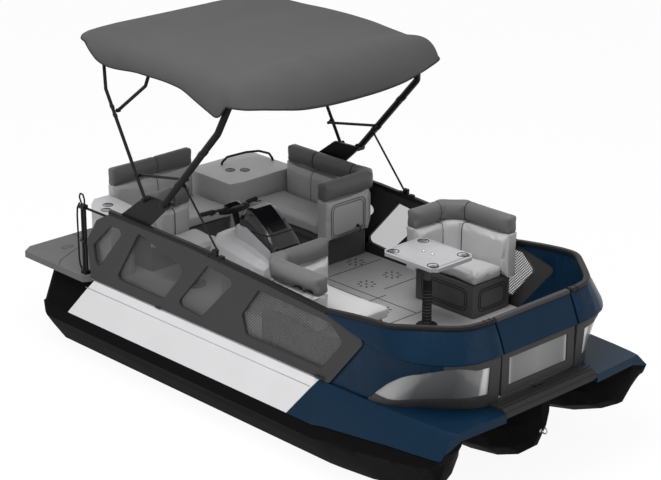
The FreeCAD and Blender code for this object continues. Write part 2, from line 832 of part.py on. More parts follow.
def build_gate():
    """Blue upper panel, framed lower panel, rail and hinge leaf of the bow gate."""
    half = size("gate_half_width")
    lines = bow_lines()
    ring = panel_ring(lines, 1)
    depth = Vector(0, -float(half) * 2, 0)
    front = [Vector(place.x, float(half), place.z) for place in ring]
    shaped("gate_panel", Part.Face(wire(front)).extrude(depth))
    cap = cap_ring(Vector(ring[0].x, float(half), 0), Vector(-1, 0, 0), ring[0].z)
    rail = Part.Face(wire(cap)).extrude(depth)
    foot = DECK_TOP + size("gate_gap") * 5
    top = size("bow_rail_top") - size("bow_panel_height") - size("bow_panel_lip") * LIP_DROP_SHARE
    height = top - foot - size("clearance")
    wall = size("gate_wall")
    base = size("gate_base_station") - wall
    outer = rectangle(-half, foot, half, foot + height)
    hole = spread(GATE_HOLE_SHARES, -half, half * 2, foot, height)
    frame = plate_with_hole(outer, hole, base, wall)
    frame = frame.fuse(hinge_leaf(float(base + wall * 0.5))).removeSplitter()
    shaped("gate_frame", Part.makeCompound([frame, rail]))
    gap = size("clearance")
    inset = [(hole[0][0] + gap, hole[0][1] + gap), (hole[1][0] - gap, hole[1][1] + gap),
             (hole[2][0] - gap, hole[2][1] - gap), (hole[3][0] + gap, hole[3][1] - gap)]
    slab("gate_inset", "YZ_Plane", [inset], base, wall * 0.7)


def plate_with_hole(outer, hole, start, thickness):
    """A plate across the boat with a window, from its outlines of width and height."""
    def face(loop):
        return Part.Face(wire([point(start, y, z) for y, z in loop]))

    forward = Vector(float(thickness), 0, 0)
    return face(outer).extrude(forward).cut(face(hole).extrude(forward))


def hinge_place():
    """The upright gate hinge line at the port post."""
    x = bow_lines()[0].value(1).x - float(size("bow_panel_wall") + size("gate_hinge_radius") * 2)
    y = float(size("gate_half_width") + size("gate_gap") + size("gate_hinge_radius") / 2)
    return x, y


def hinge_spans():
    """Height ranges of the two fixed knuckles on the port post."""
    low, high = float(DECK_TOP), float(size("bow_rail_top") - size("rail_height"))
    reach = (high - low) / 8
    return (low + reach, low + reach * 2), (high - reach * 3, high - reach * 2)


def hinge_leaf(front):
    """The gate's knuckle between the fixed ones, tied to its frame."""
    x, y = hinge_place()
    ring, pin = float(size("gate_hinge_radius")), float(size("gate_pin_radius"))
    edge, gap = float(size("gate_half_width")), float(size("gate_gap"))
    (low, start), (end, high) = hinge_spans()
    start, end = start + gap, end - gap * 2
    knuckle = rod(Vector(x, y, start), Vector(x, y, end), ring)
    tab = block(Vector(x - ring * 0.4, edge - ring * 3, start), Vector(x + ring * 0.4, y, end))
    arm = block(Vector(x - ring * 0.4, edge - ring * 3, start), Vector(front, edge - ring, end))
    leaf = knuckle.fuse(tab).fuse(arm)
    return leaf.cut(rod(Vector(x, y, start - gap), Vector(x, y, end + gap), pin + float(size("clearance"))))


def build_gate_posts():
    """Posts at both sides of the gate; the port one carries the hinge pin."""
    x, y = hinge_place()
    ring = float(size("gate_hinge_radius"))
    wide = float(size("gate_post_width"))
    deep = float(size("gate_post_depth"))
    low, high = float(DECK_TOP), float(size("bow_rail_top") - size("rail_height") - size("gate_gap"))
    near = y + ring + float(size("gate_gap"))
    posts = []
    for sign in (1, -1):
        sides = sorted((sign * near, sign * (near + wide)))
        posts.append(block(Vector(x - deep / 2, sides[0], low), Vector(x + deep / 2, sides[1], high)))
    hinge = posts[0]
    spans = hinge_spans()
    for start, end in spans:
        hinge = hinge.fuse(rod(Vector(x, y, start), Vector(x, y, end), ring))
        hinge = hinge.fuse(block(Vector(x - ring / 2, y, start), Vector(x + ring / 2, near, end)))
    pin = rod(Vector(x, y, spans[0][0]), Vector(x, y, spans[1][1]), float(size("gate_pin_radius")))
    shaped("gate_posts", Part.makeCompound([hinge.fuse(pin).removeSplitter(), posts[1]]))


def build_rails():
    """One grab rail a side, along the fence top and round the bow fence to the gate."""
    left, width, bottom, height = fence_frame()
    crest = spread(FENCE_SHARES[3:7], left, width, bottom, height)
    outer = float(size("fence_outer"))
    sections = []
    for x, z in reversed(crest):
        sections.append(cap_ring(Vector(float(x), outer, 0), Vector(0, -1, 0), float(z)))
    rail = bow_lines()[0]
    drop = float(size("rail_height"))
    for share, sill, head in BOW_STATION_SHARES:
        place = rail.value(share)
        sections.append(cap_ring(place, reach_in(rail, share), place.z - drop))
    cap = ruled(sections)
    shaped("rail_port", cap)
    shaped("rail_starboard", mirrored(cap))


def soft(node, outline, bottom, thickness, round_size):
    """A cushion: a plan outline padded up, all edges rounded."""
    body = slab(node, "XY_Plane", [outline], bottom, thickness)
    return rounded(body, f"{node}_round", lambda edge: True, round_size)


def plan(shares, side=1):
    """Plan points as shares of the half length and the deck's half width."""
    width = size("deck_half_width") * side
    return [(HALF_LENGTH * x, width * y) for x, y in shares]


SEAT_LEVEL = DECK_TOP + size("seat_top")
CUSHION_LOW = SEAT_LEVEL - size("cushion_thickness")

# Plans of the seats: base, cushion and back outlines as shares of half length and half width
PORT_LOUNGE = {
    "base": [(-0.515, 0.46), (-0.165, 0.46), (-0.165, 0.97), (-0.515, 0.97)],
    "cushion": [(-0.517, 0.42), (-0.172, 0.42), (-0.172, 0.84), (-0.517, 0.84)],
    "back": [(-0.517, 0.87), (-0.172, 0.87), (-0.152, 0.82), (-0.150, 0.36), (-0.100, 0.36), (-0.100, 0.90),
             (-0.135, 0.985), (-0.517, 0.985)],
    "rise": 1,
}
PORT_BOW_LOUNGE = {
    "base": [(0.230, 0.55), (0.484, 0.55), (0.484, 0.97), (0.230, 0.97)],
    "cushion": [(0.276, 0.53), (0.492, 0.53), (0.492, 0.84), (0.310, 0.84), (0.276, 0.755)],
    "back": [(0.222, 0.44), (0.270, 0.44), (0.270, 0.76), (0.312, 0.87), (0.506, 0.87), (0.506, 0.985),
             (0.290, 0.985), (0.222, 0.82)],
    "rise": 1,
}
STARBOARD_BOW_SEAT = {
    "base": [(0.160, 0.42), (0.475, 0.42), (0.475, 0.94), (0.160, 0.94)],
    "cushion": [(0.200, 0.39), (0.487, 0.39), (0.487, 0.80), (0.222, 0.80), (0.200, 0.735)],
    "back": [(0.150, 0.30), (0.194, 0.30), (0.194, 0.74), (0.225, 0.83), (0.415, 0.83), (0.415, 0.96),
             (0.205, 0.96), (0.150, 0.84)],
    "rise": 0.80,
}
AFT_BENCH = {
    "base": [(-0.745, -0.62), (-0.520, -0.62), (-0.520, 0.20), (-0.745, 0.20)],
    "cushion": [(-0.690, -0.64), (-0.505, -0.64), (-0.505, 0.22), (-0.690, 0.22)],
    "back": [(-0.742, -0.64), (-0.700, -0.64), (-0.700, 0.22), (-0.742, 0.22)],
    "rise": 1,
}
HELM_SEAT = {
    "foot": (-0.350, 0.54),
    "base": [(-0.474, 0.36), (-0.285, 0.36), (-0.285, 0.72), (-0.474, 0.72)],
    "cushion": [(-0.430, 0.34), (-0.270, 0.34), (-0.270, 0.74), (-0.430, 0.74)],
    "back": [(-0.470, 0.34), (-0.434, 0.38), (-0.434, 0.70), (-0.470, 0.74), (-0.482, 0.70), (-0.482, 0.38)],
    "rise": 0.92,
}


def upright(outline, bottom, thickness):
    """A plan outline carried up from a height."""
    face = Part.Face(wire([point(x, y, bottom) for x, y in outline]))
    return face.extrude(Vector(0, 0, float(thickness)))


def upright_edges(shape):
    """The edges of a shape that run straight up."""
    return [edge for edge in shape.Edges if along(edge, Vector(0, 0, 1))]


def build_seat(name, shares, side=1):
    """Seat cushion, and a backrest with the darker pillow along its top."""
    gap = size("clearance")
    soft(f"{name}_cushion", plan(shares["cushion"], side), CUSHION_LOW + gap,
         size("cushion_thickness"), size("cushion_round"))
    pillow_low = SEAT_LEVEL + size("back_height") * shares["rise"] - size("pillow_height")
    outline = plan(shares["back"], side)
    back = upright(outline, CUSHION_LOW + gap, pillow_low - CUSHION_LOW - gap)
    pillow = upright(outline, pillow_low + gap, size("pillow_height"))
    back = back.makeFillet(float(size("cushion_round")) / 2, upright_edges(back))
    pillow = pillow.makeFillet(float(size("cushion_round")), pillow.Edges)
    shaped(f"{name}_back", Part.makeCompound([back, pillow]))


def build_seats():
    build_seat("port_lounge", PORT_LOUNGE)
    build_seat("port_bow_lounge", PORT_BOW_LOUNGE)
    build_seat("starboard_bow_seat", STARBOARD_BOW_SEAT, -1)
    build_seat("aft_bench", AFT_BENCH)
    build_seat("helm_seat", HELM_SEAT, -1)
    bases = []
    for shares, side in ((PORT_LOUNGE, 1), (PORT_BOW_LOUNGE, 1), (STARBOARD_BOW_SEAT, -1), (AFT_BENCH, 1)):
        bases.append(upright(plan(shares["base"], side), DECK_TOP, CUSHION_LOW - DECK_TOP))
    shaped("seat_bases", Part.makeCompound(bases))
    build_pedestal()


def build_pedestal():
    """Foot plate, column and pan under the helm seat."""
    foot_x, foot_y = HELM_SEAT["foot"]
    foot = point(HALF_LENGTH * foot_x, size("deck_half_width") * -foot_y, DECK_TOP)
    radius = float(size("tower_plate_wall")) * 2
    pan_low = CUSHION_LOW - size("table_wall") / 2
    column = rod(foot, Vector(foot.x, foot.y, float(pan_low)), radius)
    plate = rod(foot, foot + Vector(0, 0, radius / 4), radius * 2.4)
    pan = upright(plan(HELM_SEAT["base"], -1), pan_low, CUSHION_LOW - pan_low)
    shaped("helm_seat_pedestal", column.fuse(plate).fuse(pan).removeSplitter())


CORNER_PORT_SHARES = [(-0.760, 0.27), (-0.535, 0.27), (-0.525, 0.40), (-0.525, 0.985), (-0.760, 0.985)]
CORNER_STARBOARD_SHARES = [
    (-0.690, 0.665), (-0.575, 0.690), (-0.545, 0.780), (-0.545, 0.985), (-0.640, 0.985),
    (-0.690, 0.900), (-0.720, 0.800), (-0.720, 0.665),
]
CORNER_CUP_SHARES = {"port": [(-0.646, 0.51), (-0.611, 0.60)], "starboard": [(-0.648, 0.80), (-0.613, 0.89)]}


def build_corner_tables():
    """Moulded corner cabinets with a table top and two cup wells each."""
    top = DECK_TOP + size("table_corner_height")
    wall = float(size("deck_thickness"))
    radius, depth = float(size("cup_radius")), float(size("cup_depth"))
    overhang = float(size("base_inset"))
    side_y, aft_x = float(size("deck_half_width")) * 0.9, float(HALF_LENGTH) * -0.75
    for name, shares, side in (("port", CORNER_PORT_SHARES, 1), ("starboard", CORNER_STARBOARD_SHARES, -1)):
        outline = [point(x, y, DECK_TOP) for x, y in plan(shares, side)]
        middle = sum(outline, Vector(0, 0, 0)) / len(outline)
        body = Part.Face(wire(outline)).extrude(Vector(0, 0, float(top - DECK_TOP) - wall))
        lid = []
        for corner in outline:
            free = abs(corner.y) < side_y and corner.x > aft_x
            reach = (corner - middle).normalize() * (overhang if free else 0)
            lid.append(Vector(corner.x + reach.x, corner.y + reach.y, float(top) - wall))
        slab_top = Part.Face(wire(lid)).extrude(Vector(0, 0, wall))
        for x, y in plan(CORNER_CUP_SHARES[name], side):
            well = rod(point(x, y, top - size("cup_depth")), point(x, y, top + wall), radius)
            body = body.cut(well)
            slab_top = slab_top.cut(well)
        shaped(f"corner_table_{name}", body.fuse(slab_top).removeSplitter())


TABLE_CENTRE_SHARES = (0.413, 0.211)


def build_table():
    """Table on a post: a thick lower sleeve in the deck and a thin upper leg."""
    x, y = HALF_LENGTH * TABLE_CENTRE_SHARES[0], size("deck_half_width") * TABLE_CENTRE_SHARES[1]
    long, wide = size("table_length"), size("table_width")
    top = DECK_TOP + size("table_height")
    thick = size("table_wall")
    cut = size("cup_radius") * 1.2
    low_x, high_x, low_y, high_y = x - long / 2, x + long / 2, y - wide / 2, y + wide / 2
    outline = [(low_x + cut, low_y), (high_x - cut, low_y), (high_x, low_y + cut), (high_x, high_y - cut),
               (high_x - cut, high_y), (low_x + cut, high_y), (low_x, high_y - cut), (low_x, low_y + cut)]
    face = Part.Face(wire([point(a, b, top - thick) for a, b in outline]))
    board = face.extrude(Vector(0, 0, float(thick)))
    inset = size("cup_radius") * 1.45
    for sign_x in (-1, 1):
        for sign_y in (-1, 1):
            spot = point(x + (long / 2 - inset) * sign_x, y + (wide / 2 - inset) * sign_y, top - thick)
            board = board.cut(rod(spot, spot + Vector(0, 0, float(thick)), float(size("cup_radius"))))
    shaped("table_top", board)
    sleeve = float(size("table_sleeve_radius"))
    foot = point(x, y, DECK_TOP)
    knee = point(x, y, DECK_TOP + size("table_sleeve_height"))
    head = point(x, y, top - thick)
    leg = rod(foot, knee, sleeve).fuse(rod(knee, head, sleeve * 0.62))
    leg = leg.fuse(rod(foot, foot + Vector(0, 0, sleeve / 3), sleeve * 2))
    leg = leg.fuse(rod(head - Vector(0, 0, sleeve / 3), head, sleeve * 2))
    shaped("table_leg", leg.removeSplitter())


# Console sections from aft to fore: x share, then its breadth and top as shares
CONSOLE_STATION_SHARES = [
    (0.000, 0.66, 0.880), (0.050, 0.84, 0.985), (0.140, 0.95, 1.000), (0.340, 1.00, 0.985),
    (0.600, 1.00, 0.940), (0.820, 0.93, 0.870), (0.940, 0.78, 0.790), (1.000, 0.56, 0.660),
]
# Half of one section: breadth and height shares from the foot to the crown
CONSOLE_RIB_SHARES = [(0.56, 0.0), (0.60, 0.34), (0.82, 0.50), (1.0, 0.62), (0.98, 0.74), (0.86, 0.90),
               (0.66, 0.985), (0.38, 1.0)]
COWL_SHARES = [(0.30, 0.80), (0.97, 0.60), (0.97, 0.86), (0.90, 0.96), (0.50, 1.17), (0.34, 1.17)]
BIN_SHARES = ((0.42, 0.90), (0.40, 1.25))
LID_SEAM_SHARES = [(0.38, 1.17), (0.50, 1.17), (0.90, 0.96), (0.965, 0.87)]
LID_CROWN_SHARES = [(0.965, 0.98), (0.93, 1.06), (0.84, 1.17), (0.74, 1.27), (0.62, 1.37), (0.54, 1.42),
             (0.45, 1.42), (0.38, 1.34)]
# How the lid rounds off towards its sides: share of its half width, and of its crown's height
LID_EDGE_SHARES = [(1, 0.42), (0.94, 0.72), (0.80, 0.92), (0.55, 1)]
LID_HINGE_SHARES = (0.985, 0.87)
CONSOLE_START_SHARE = -0.203
CONSOLE_INNER_SHARE = -0.0872
STEM_FOOT_SHARE = 0.10
COWL_WIDTH_SHARE = 0.46
STEM_LEAN = (-0.34, 0, 0.94)
# The bar sweeps back: its bends and ends as shares of its half width
BAR_SWEEP_SHARE, BAR_BEND_SHARE = 0.22, 0.42


def console_frame():
    """Aft end, length, height, inner side and width of the console."""
    start = HALF_LENGTH * CONSOLE_START_SHARE
    inner = size("deck_half_width") * CONSOLE_INNER_SHARE
    return start, size("console_length"), size("console_height"), inner, size("console_width")


def across(profile, start, width):
    """A side profile carried towards starboard from start."""
    face = Part.Face(wire([point(x, start, z) for x, z in profile]))
    return face.extrude(Vector(0, -float(width), 0))


def console_shell():
    """The rounded body that flares from its foot to its shoulders."""
    left, length, height, inner, width = console_frame()
    middle, half = float(inner - width / 2), float(width / 2)
    sections = []
    low = float(DECK_TOP)
    for x_share, broad, top in CONSOLE_STATION_SHARES:
        x = float(left + length * x_share)
        tall = float(height) * top
        right = [Vector(x, middle - half * broad * y, low + tall * z) for y, z in CONSOLE_RIB_SHARES]
        sections.append(right + [Vector(x, 2 * middle - p.y, p.z) for p in reversed(right)])
    return ruled(sections)


def lid_hinge():
    """Line of the lid's hinge: x and height."""
    left, length, height = console_frame()[:3]
    x_share, z_share = LID_HINGE_SHARES
    return float(left + length * x_share), float(DECK_TOP + height * z_share)


def lid_shell(inner, width):
    """The lid: its crown rounds off towards both sides."""
    left, length, height = console_frame()[:3]
    base = DECK_TOP + size("clearance") * 2
    seam = spread(LID_SEAM_SHARES, left, length, base, height)
    crown = spread(LID_CROWN_SHARES, left, length, base, height)
    low = float(seam[-1][1])
    middle, half = float(inner - width / 2), float(width / 2)

    def seam_height(x):
        for (x0, z0), (x1, z1) in zip(seam, seam[1:]):
            if float(x0) <= x <= float(x1):
                return float(z0) + float(z1 - z0) * (x - float(x0)) / float(x1 - x0)
        return low

    sections = []
    for y_share, lift in LID_EDGE_SHARES + [(-y, z) for y, z in reversed(LID_EDGE_SHARES)]:
        y = middle - half * y_share
        under = [Vector(float(x), y, float(z)) for x, z in seam]
        over = []
        for x, z in crown:
            floor = seam_height(float(x))
            over.append(Vector(float(x), y, floor + (float(z) - floor) * lift))
        sections.append(under + over)
    return ruled(sections)


def across_rod(x, z, middle, half, radius):
    """A round bar across the boat that reaches the same way to both sides."""
    return rod(Vector(x, middle - half, z), Vector(x, middle + half, z), radius)


def build_console():
    """Helm console: body, cowl around an open bin, lid over the bin."""
    left, length, height, inner, width = console_frame()
    gap, rim = size("clearance"), size("console_wall")
    cowl_inner = inner - (width - width * COWL_WIDTH_SHARE) / 2
    cowl_width = width * COWL_WIDTH_SHARE
    cowl = across(spread(COWL_SHARES, left, length, DECK_TOP, height), cowl_inner, cowl_width)
    x_span, z_span = BIN_SHARES
    aft, fore = left + length * x_span[0], left + length * x_span[1]
    bay = block(point(aft, cowl_inner - cowl_width + rim, DECK_TOP + height * z_span[0]),
                point(fore, cowl_inner - rim, DECK_TOP + height * z_span[1]))
    foot, rise = steering_frame()
    collar = float(size("bar_radius")) * 3
    body = console_shell().cut(bay).fuse(rod(foot - rise * collar, foot, collar))
    hinge_x, hinge_z = lid_hinge()
    barrel = float(size("lid_barrel_radius"))
    face = float(left + length * COWL_SHARES[1][0])
    middle = float(cowl_inner - cowl_width / 2)
    half = float(cowl_width) / 6
    step = float(size("gate_gap"))
    for sign in (-1, 1):
        near, far = middle + sign * (half + step), middle + sign * (half * 1.6 + step)
        cowl = cowl.fuse(rod(Vector(hinge_x, near, hinge_z), Vector(hinge_x, far, hinge_z), barrel))
        cowl = cowl.fuse(block(Vector(face - barrel, min(near, far), hinge_z - barrel),
                               Vector(hinge_x, max(near, far), hinge_z)))
    cowl = cowl.cut(body).cut(bay)
    cowl = cowl.fuse(across_rod(hinge_x, hinge_z, middle, half * 1.5, barrel / 2))
    shaped("console_body", body.removeSplitter())
    shaped("console_cowl", cowl)
    lid = lid_shell(cowl_inner - rim / 3, cowl_width - rim / 1.5)
    lid = lid.fuse(block(Vector(face - barrel * 0.62, middle - half, hinge_z + barrel / 4),
                         Vector(hinge_x, middle + half, hinge_z + barrel)))
    lid = lid.fuse(across_rod(hinge_x, hinge_z, middle, half, barrel))
    lid = lid.cut(across_rod(hinge_x, hinge_z, middle, half * 2, barrel / 2 + float(gap)))
    shaped("console_lid", lid.removeSplitter())


def steering_frame():
    """Foot of the steering stem and its leaning direction."""
    left, length, height, inner, width = console_frame()
    foot = point(left + length * STEM_FOOT_SHARE, inner - width / 2, DECK_TOP + height + size("bar_radius"))
    return foot, Vector(*STEM_LEAN).normalize()


def build_handlebar():
    """Stem, bar and grips on a leaning steering axis."""
    foot, rise = steering_frame()
    stem = float(size("stem_length"))
    head = foot + rise * stem
    radius = float(size("bar_radius"))
    half = float(size("bar_half_width"))
    sweep = Vector(-half * BAR_SWEEP_SHARE, 0, 0)
    ends, bends = [], []
    for sign in (-1, 1):
        ends.append(head + Vector(0, sign * half, 0) + sweep)
        bends.append(head + Vector(0, sign * half * BAR_BEND_SHARE, 0) + sweep / 3 + rise * radius)
    bar = tube([ends[0], bends[0], bends[1], ends[1]], radius, radius * 3)
    bar = bar.fuse(rod(foot + rise * float(size("clearance")), head + rise * radius, radius * 2.6))
    bar = bar.removeSplitter()
    for end, bend in zip(ends, bends):
        way = (end - bend).normalize()
        bar = bar.fuse(rod(end - way * (half * BAR_BEND_SHARE), end + way * radius, radius * 1.45))
    shaped("handlebar", bar.fuse(bar_cover(head, rise, half)).removeSplitter())


# The moulded cover over the bar's middle: side share, and thickness and height shares
COVER_SHARES = [(-0.52, 0.55, 0.45), (-0.34, 0.85, 0.80), (0, 1, 1), (0.34, 0.85, 0.80), (0.52, 0.55, 0.45)]
COVER_RING_SHARES = [(-0.5, -0.5), (0.42, -0.5), (0.55, 0), (0.35, 0.42), (0, 0.55),
                     (-0.38, 0.40), (-0.55, 0)]


def bar_cover(head, rise, half):
    """A padded housing over the clamp of the bar, thicker at its middle."""
    aft = Vector(-rise.z, 0, rise.x)
    deep, tall = float(size("bar_radius")) * 6, float(size("bar_radius")) * 7
    sections = []
    for y_share, thick, up in COVER_SHARES:
        middle = head + Vector(0, half * y_share, 0)
        sections.append([middle + aft * (deep * thick * back) + rise * (tall * up * lift)
                         for back, lift in COVER_RING_SHARES])
    return ruled(sections)


def tower_place(x, z, side=1, out=0):
    """A place in the plane of a tower side frame."""
    return Vector(float(x), side * (float(size("tower_half_width")) + out), float(z))


# Places of the tower's side frame: shares of the half length, and of the height over the fence
MAIN_PIN = (-0.232, 0.1853)
REAR_PIN = (-0.325, 0.1683)
LEG_BEND = (0.028, 0.6741)
LEG_TOP = (0.068, 0.8371)
REAR_KNEE = (-0.507, 0.7166)
REAR_TOP = (-0.556, 0.8654)
STRUT_FOOT = (-0.003, 0.0252)
STRUT_HEAD = (-0.153, 0.3142)
BRACE_AFT = (-0.364, 0.2859)
BRACE_FORE = (-0.142, 0.3539)
BOW_JOINT = (-0.470, 0.6061)
BOW_BEND = (-0.330, 0.7903)
BOW_TOP = (-0.298, 0.8796)

# The plates' ends along the fence, the bends of the tubes and the pins and eyes of the links
PLATE_SHARES = (0.135, 0.245)
BEND_SHARE = 2.2
LINK_PIN_SHARE = 0.6
LINK_EYE_SHARE = 1.6


def spot(shares, side=1, out=0):
    """A tower place from its shares."""
    base = PANEL_TOP + size("fence_aft_height")
    rise = size("canopy_crown") - base
    return tower_place(HALF_LENGTH * shares[0], base + rise * shares[1], side, out)


def build_tower():
    """Fixed plates, folding legs, rear stays, struts and braces of the canopy frame."""
    wall = float(size("tower_plate_wall"))
    leg = float(size("leg_radius"))
    stay = float(size("stay_radius"))
    gap = float(size("gate_gap"))
    pin = float(size("pin_radius"))
    reach = float(size("tower_plate_reach"))
    left, width = fence_frame()[:2]
    plates = []
    rise = float(size("rail_height") + size("clearance") * 2)
    for side in (-1, 1):
        main, rear = spot(MAIN_PIN, side), spot(REAR_PIN, side)
        inner = main.y - side * (leg + gap + wall)
        a, b = [Vector(float(left + width * share), inner, crest_height(share) + rise)
                for share in PLATE_SHARES]
        c = Vector(main.x + reach, inner, main.z + reach * 0.3)
        d = Vector(rear.x - reach * 0.4, inner, rear.z + reach * 0.5)
        plate = Part.Face(wire([a, b, c, d])).extrude(Vector(0, side * wall, 0))
        for place in (main, rear):
            end = Vector(place.x, place.y + side * leg, place.z)
            plate = plate.fuse(rod(Vector(place.x, inner, place.z), end, pin))
        plates.append(plate)
        plates.append(strut_bracket(side))
    shaped("tower_plates", Part.makeCompound(plates))
    build_bow_frame("tower_legs", MAIN_PIN, LEG_BEND, LEG_TOP, leg, pin, [STRUT_HEAD], BRACE_FORE)
    build_bow_frame("tower_stays", REAR_PIN, REAR_KNEE, REAR_TOP, stay, pin, [BRACE_AFT, BOW_JOINT], None)
    build_middle_bow(stay, pin)


def strut_bracket(side):
    """The small bracket on the rail that a strut's foot rests against."""
    radius = float(size("strut_radius"))
    inner = spot(STRUT_FOOT, side, radius + float(size("clearance")) - link_inset())
    left, width = fence_frame()[:2]
    reach = radius * 3
    share = float(HALF_LENGTH * STRUT_FOOT[0] - reach - left) / float(width)
    foot = crest_height(share) + float(size("rail_height") + size("clearance") * 2)
    sides = sorted((inner.y, inner.y + side * reach))
    low = Vector(inner.x - reach, sides[0], foot)
    return block(low, Vector(inner.x + reach, sides[1], inner.z + reach / 2))


def link_inset():
    """How far inboard of the legs the struts and braces lie."""
    return float(size("leg_radius") + size("gate_gap") + size("tower_plate_wall") / 2)


def other_side(place):
    """The same place on the other side of the boat."""
    return Vector(place.x, -place.y, place.z)


def hoop_tube(foot, knee, head, radius):
    """A tube from a foot up over a knee, across under the canopy and down again."""
    inset = float(size("canopy_wall") + size("clearance")) + radius
    arch = [Vector(head.x, y, z) for y, z in canopy_arch(head.x, inset)]
    half = [foot, knee] + arch[2:len(arch) // 2 + 1]
    return tube(half + [other_side(place) for place in reversed(half[:-1])], radius, radius * BEND_SHARE)


def with_eyes(hoop, foot, radius, pin, hole):
    """A hoop with an eye round a pin at each of its two feet."""
    reach = Vector(0, radius * 1.1, 0)
    feet = (foot, other_side(foot))
    for place in feet:
        hoop = hoop.fuse(rod(place - reach, place + reach, max(pin * 2, radius * 1.15)))
    for place in feet:
        hoop = hoop.cut(rod(place - reach * 2, place + reach * 2, hole))
    return hoop


def build_bow_frame(node, foot_place, knee_place, head_place, radius, pin, pinned, rest):
    """A hoop under the canopy: two legs with eyes at their feet and an arch across."""
    foot = spot(foot_place)
    hoop = hoop_tube(foot, spot(knee_place), spot(head_place), radius)
    hoop = with_eyes(hoop, foot, radius, pin, pin + float(size("clearance")))
    for side in (-1, 1):
        for place in pinned:
            end = spot(place, side, -link_inset() - pin * 1.6)
            hoop = hoop.fuse(rod(spot(place, side), end, pin * LINK_PIN_SHARE))
        if rest:
            gap = float(size("strut_radius")) * 1.4 + float(size("clearance"))
            hoop = hoop.fuse(rod(spot(rest, side), spot(rest, side, gap - link_inset()), pin))
    shaped(node, hoop.removeSplitter())


def build_middle_bow(radius, pin):
    """The hoop that is pinned to the rear stays and holds up the canopy's middle."""
    foot = spot(BOW_JOINT, 1, -link_inset())
    hoop = hoop_tube(foot, spot(BOW_BEND, 1, -link_inset()), spot(BOW_TOP), radius)
    hole = pin * LINK_PIN_SHARE + float(size("clearance"))
    shaped("tower_bow", with_eyes(hoop, foot, radius, pin, hole).removeSplitter())


def link(start, end, radius, pin):
    """A bar with an eye at its start, round a pin across the boat."""
    reach = Vector(0, radius, 0)
    bar = rod(start, end, radius).fuse(rod(start - reach, start + reach, pin * LINK_EYE_SHARE))
    bar = bar.fuse(rod(end - reach, end + reach, radius * 1.3))
    return bar.cut(rod(start - reach * 2, start + reach * 2, pin * LINK_PIN_SHARE + float(size("clearance"))))


def build_struts():
    """Front struts on the legs and short braces on the stays, inboard of both."""
    radius = float(size("strut_radius"))
    pin = float(size("pin_radius"))
    inset = -link_inset()
    struts, braces = [], []
    for side in (-1, 1):
        struts.append(link(spot(STRUT_HEAD, side, inset), spot(STRUT_FOOT, side, inset), radius, pin))
        braces.append(link(spot(BRACE_AFT, side, inset), spot(BRACE_FORE, side, inset), radius * 1.4, pin))
    shaped("tower_struts", Part.makeCompound(struts))
    shaped("tower_braces", Part.makeCompound(braces))


# Canopy: stations along the boat with shares of half width, crown and edge height,
# and one arch across it
CANOPY_STATION_SHARES = [
    (0, 0.62, 0.30, 0.05), (0.035, 0.80, 0.62, 0.10), (0.085, 0.92, 0.86, 0.10), (0.145, 0.975, 0.94, 0.08),
    (0.30, 0.985, 0.98, 0.05), (0.50, 0.99, 1.0, 0.0), (0.70, 0.985, 0.98, -0.10), (0.83, 0.985, 0.93, -0.55),
    (0.88, 0.965, 0.86, -0.35), (0.94, 0.88, 0.62, -0.45), (0.98, 0.68, 0.10, -0.60), (1, 0.45, -0.35, -0.75),
]
CANOPY_ARCH_SHARES = [(1.0, 0.0), (0.995, 0.35), (0.94, 0.66), (0.76, 0.86), (0.40, 0.97), (0, 1.0)]


def canopy_arch(x, inset):
    """Points of the canopy's arch at a station, moved inwards by inset."""
    aft = float(size("canopy_aft_station"))
    share = (x - aft) / (float(size("canopy_front_station")) - aft)
    stations = CANOPY_STATION_SHARES
    before = max(row for row in stations if row[0] <= share)
    after = min(row for row in stations if row[0] > share)
    part = (share - before[0]) / (after[0] - before[0])
    wide, crown, edge = [before[i] + (after[i] - before[i]) * part for i in (1, 2, 3)]
    rise = float(size("canopy_edge_drop"))
    base = float(size("canopy_crown")) - rise
    low, high = base + rise * edge, base + rise * crown
    half = float(size("canopy_half_width")) * wide - inset
    side = [(y * half, low + z * (high - low) - inset) for y, z in CANOPY_ARCH_SHARES]
    return side + [(-y, z) for y, z in reversed(side[:-1])]


def canopy_section(x, wide, crown, edge, wall):
    """One arch of the canopy, outside then inside."""
    half = float(size("canopy_half_width")) * wide
    rise = float(size("canopy_edge_drop"))
    base = float(size("canopy_crown")) - rise
    low, high = base + rise * edge, base + rise * crown

    def arch(inset):
        side = [(y * (half - inset), low + z * (high - low - inset)) for y, z in CANOPY_ARCH_SHARES]
        return side + [(-y, z) for y, z in reversed(side[:-1])]

    outer = [Vector(x, y, z) for y, z in arch(0)]
    inner = [Vector(x, y, z) for y, z in reversed(arch(wall))]
    return outer + inner


def build_canopy():
    aft = float(size("canopy_aft_station"))
    run = float(size("canopy_front_station")) - aft
    wall = float(size("canopy_wall"))
    sections = [canopy_section(aft + run * share, wide, crown, edge, wall)
                for share, wide, crown, edge in CANOPY_STATION_SHARES]
    shaped("canopy", ruled(sections))


TOW_POST_SHARES = (-0.664, -1.03)
# The tow post's bail: shares of the post's half depth, and of the bail's height
BAIL_SHARES = [(-0.6, 0), (-1.5, 0.62), (-1.1, 1), (0.1, 1), (0.6, 0.55), (0.6, 0)]
TOW_STAY_SHARE = -0.530
# The stern rail: shares of the half length, of the deck's half width and of its height
STERN_RAIL_SHARES = [
    (-0.7085, 0.5505, 0), (-0.7085, 0.5505, 0.35), (-0.7103, 0.6155, 1), (-0.7066, 0.8257, 1),
    (-0.6863, 0.930, 1), (-0.6421, 0.950, 1), (-0.6233, 0.950, 0.35), (-0.6233, 0.950, 0),
]


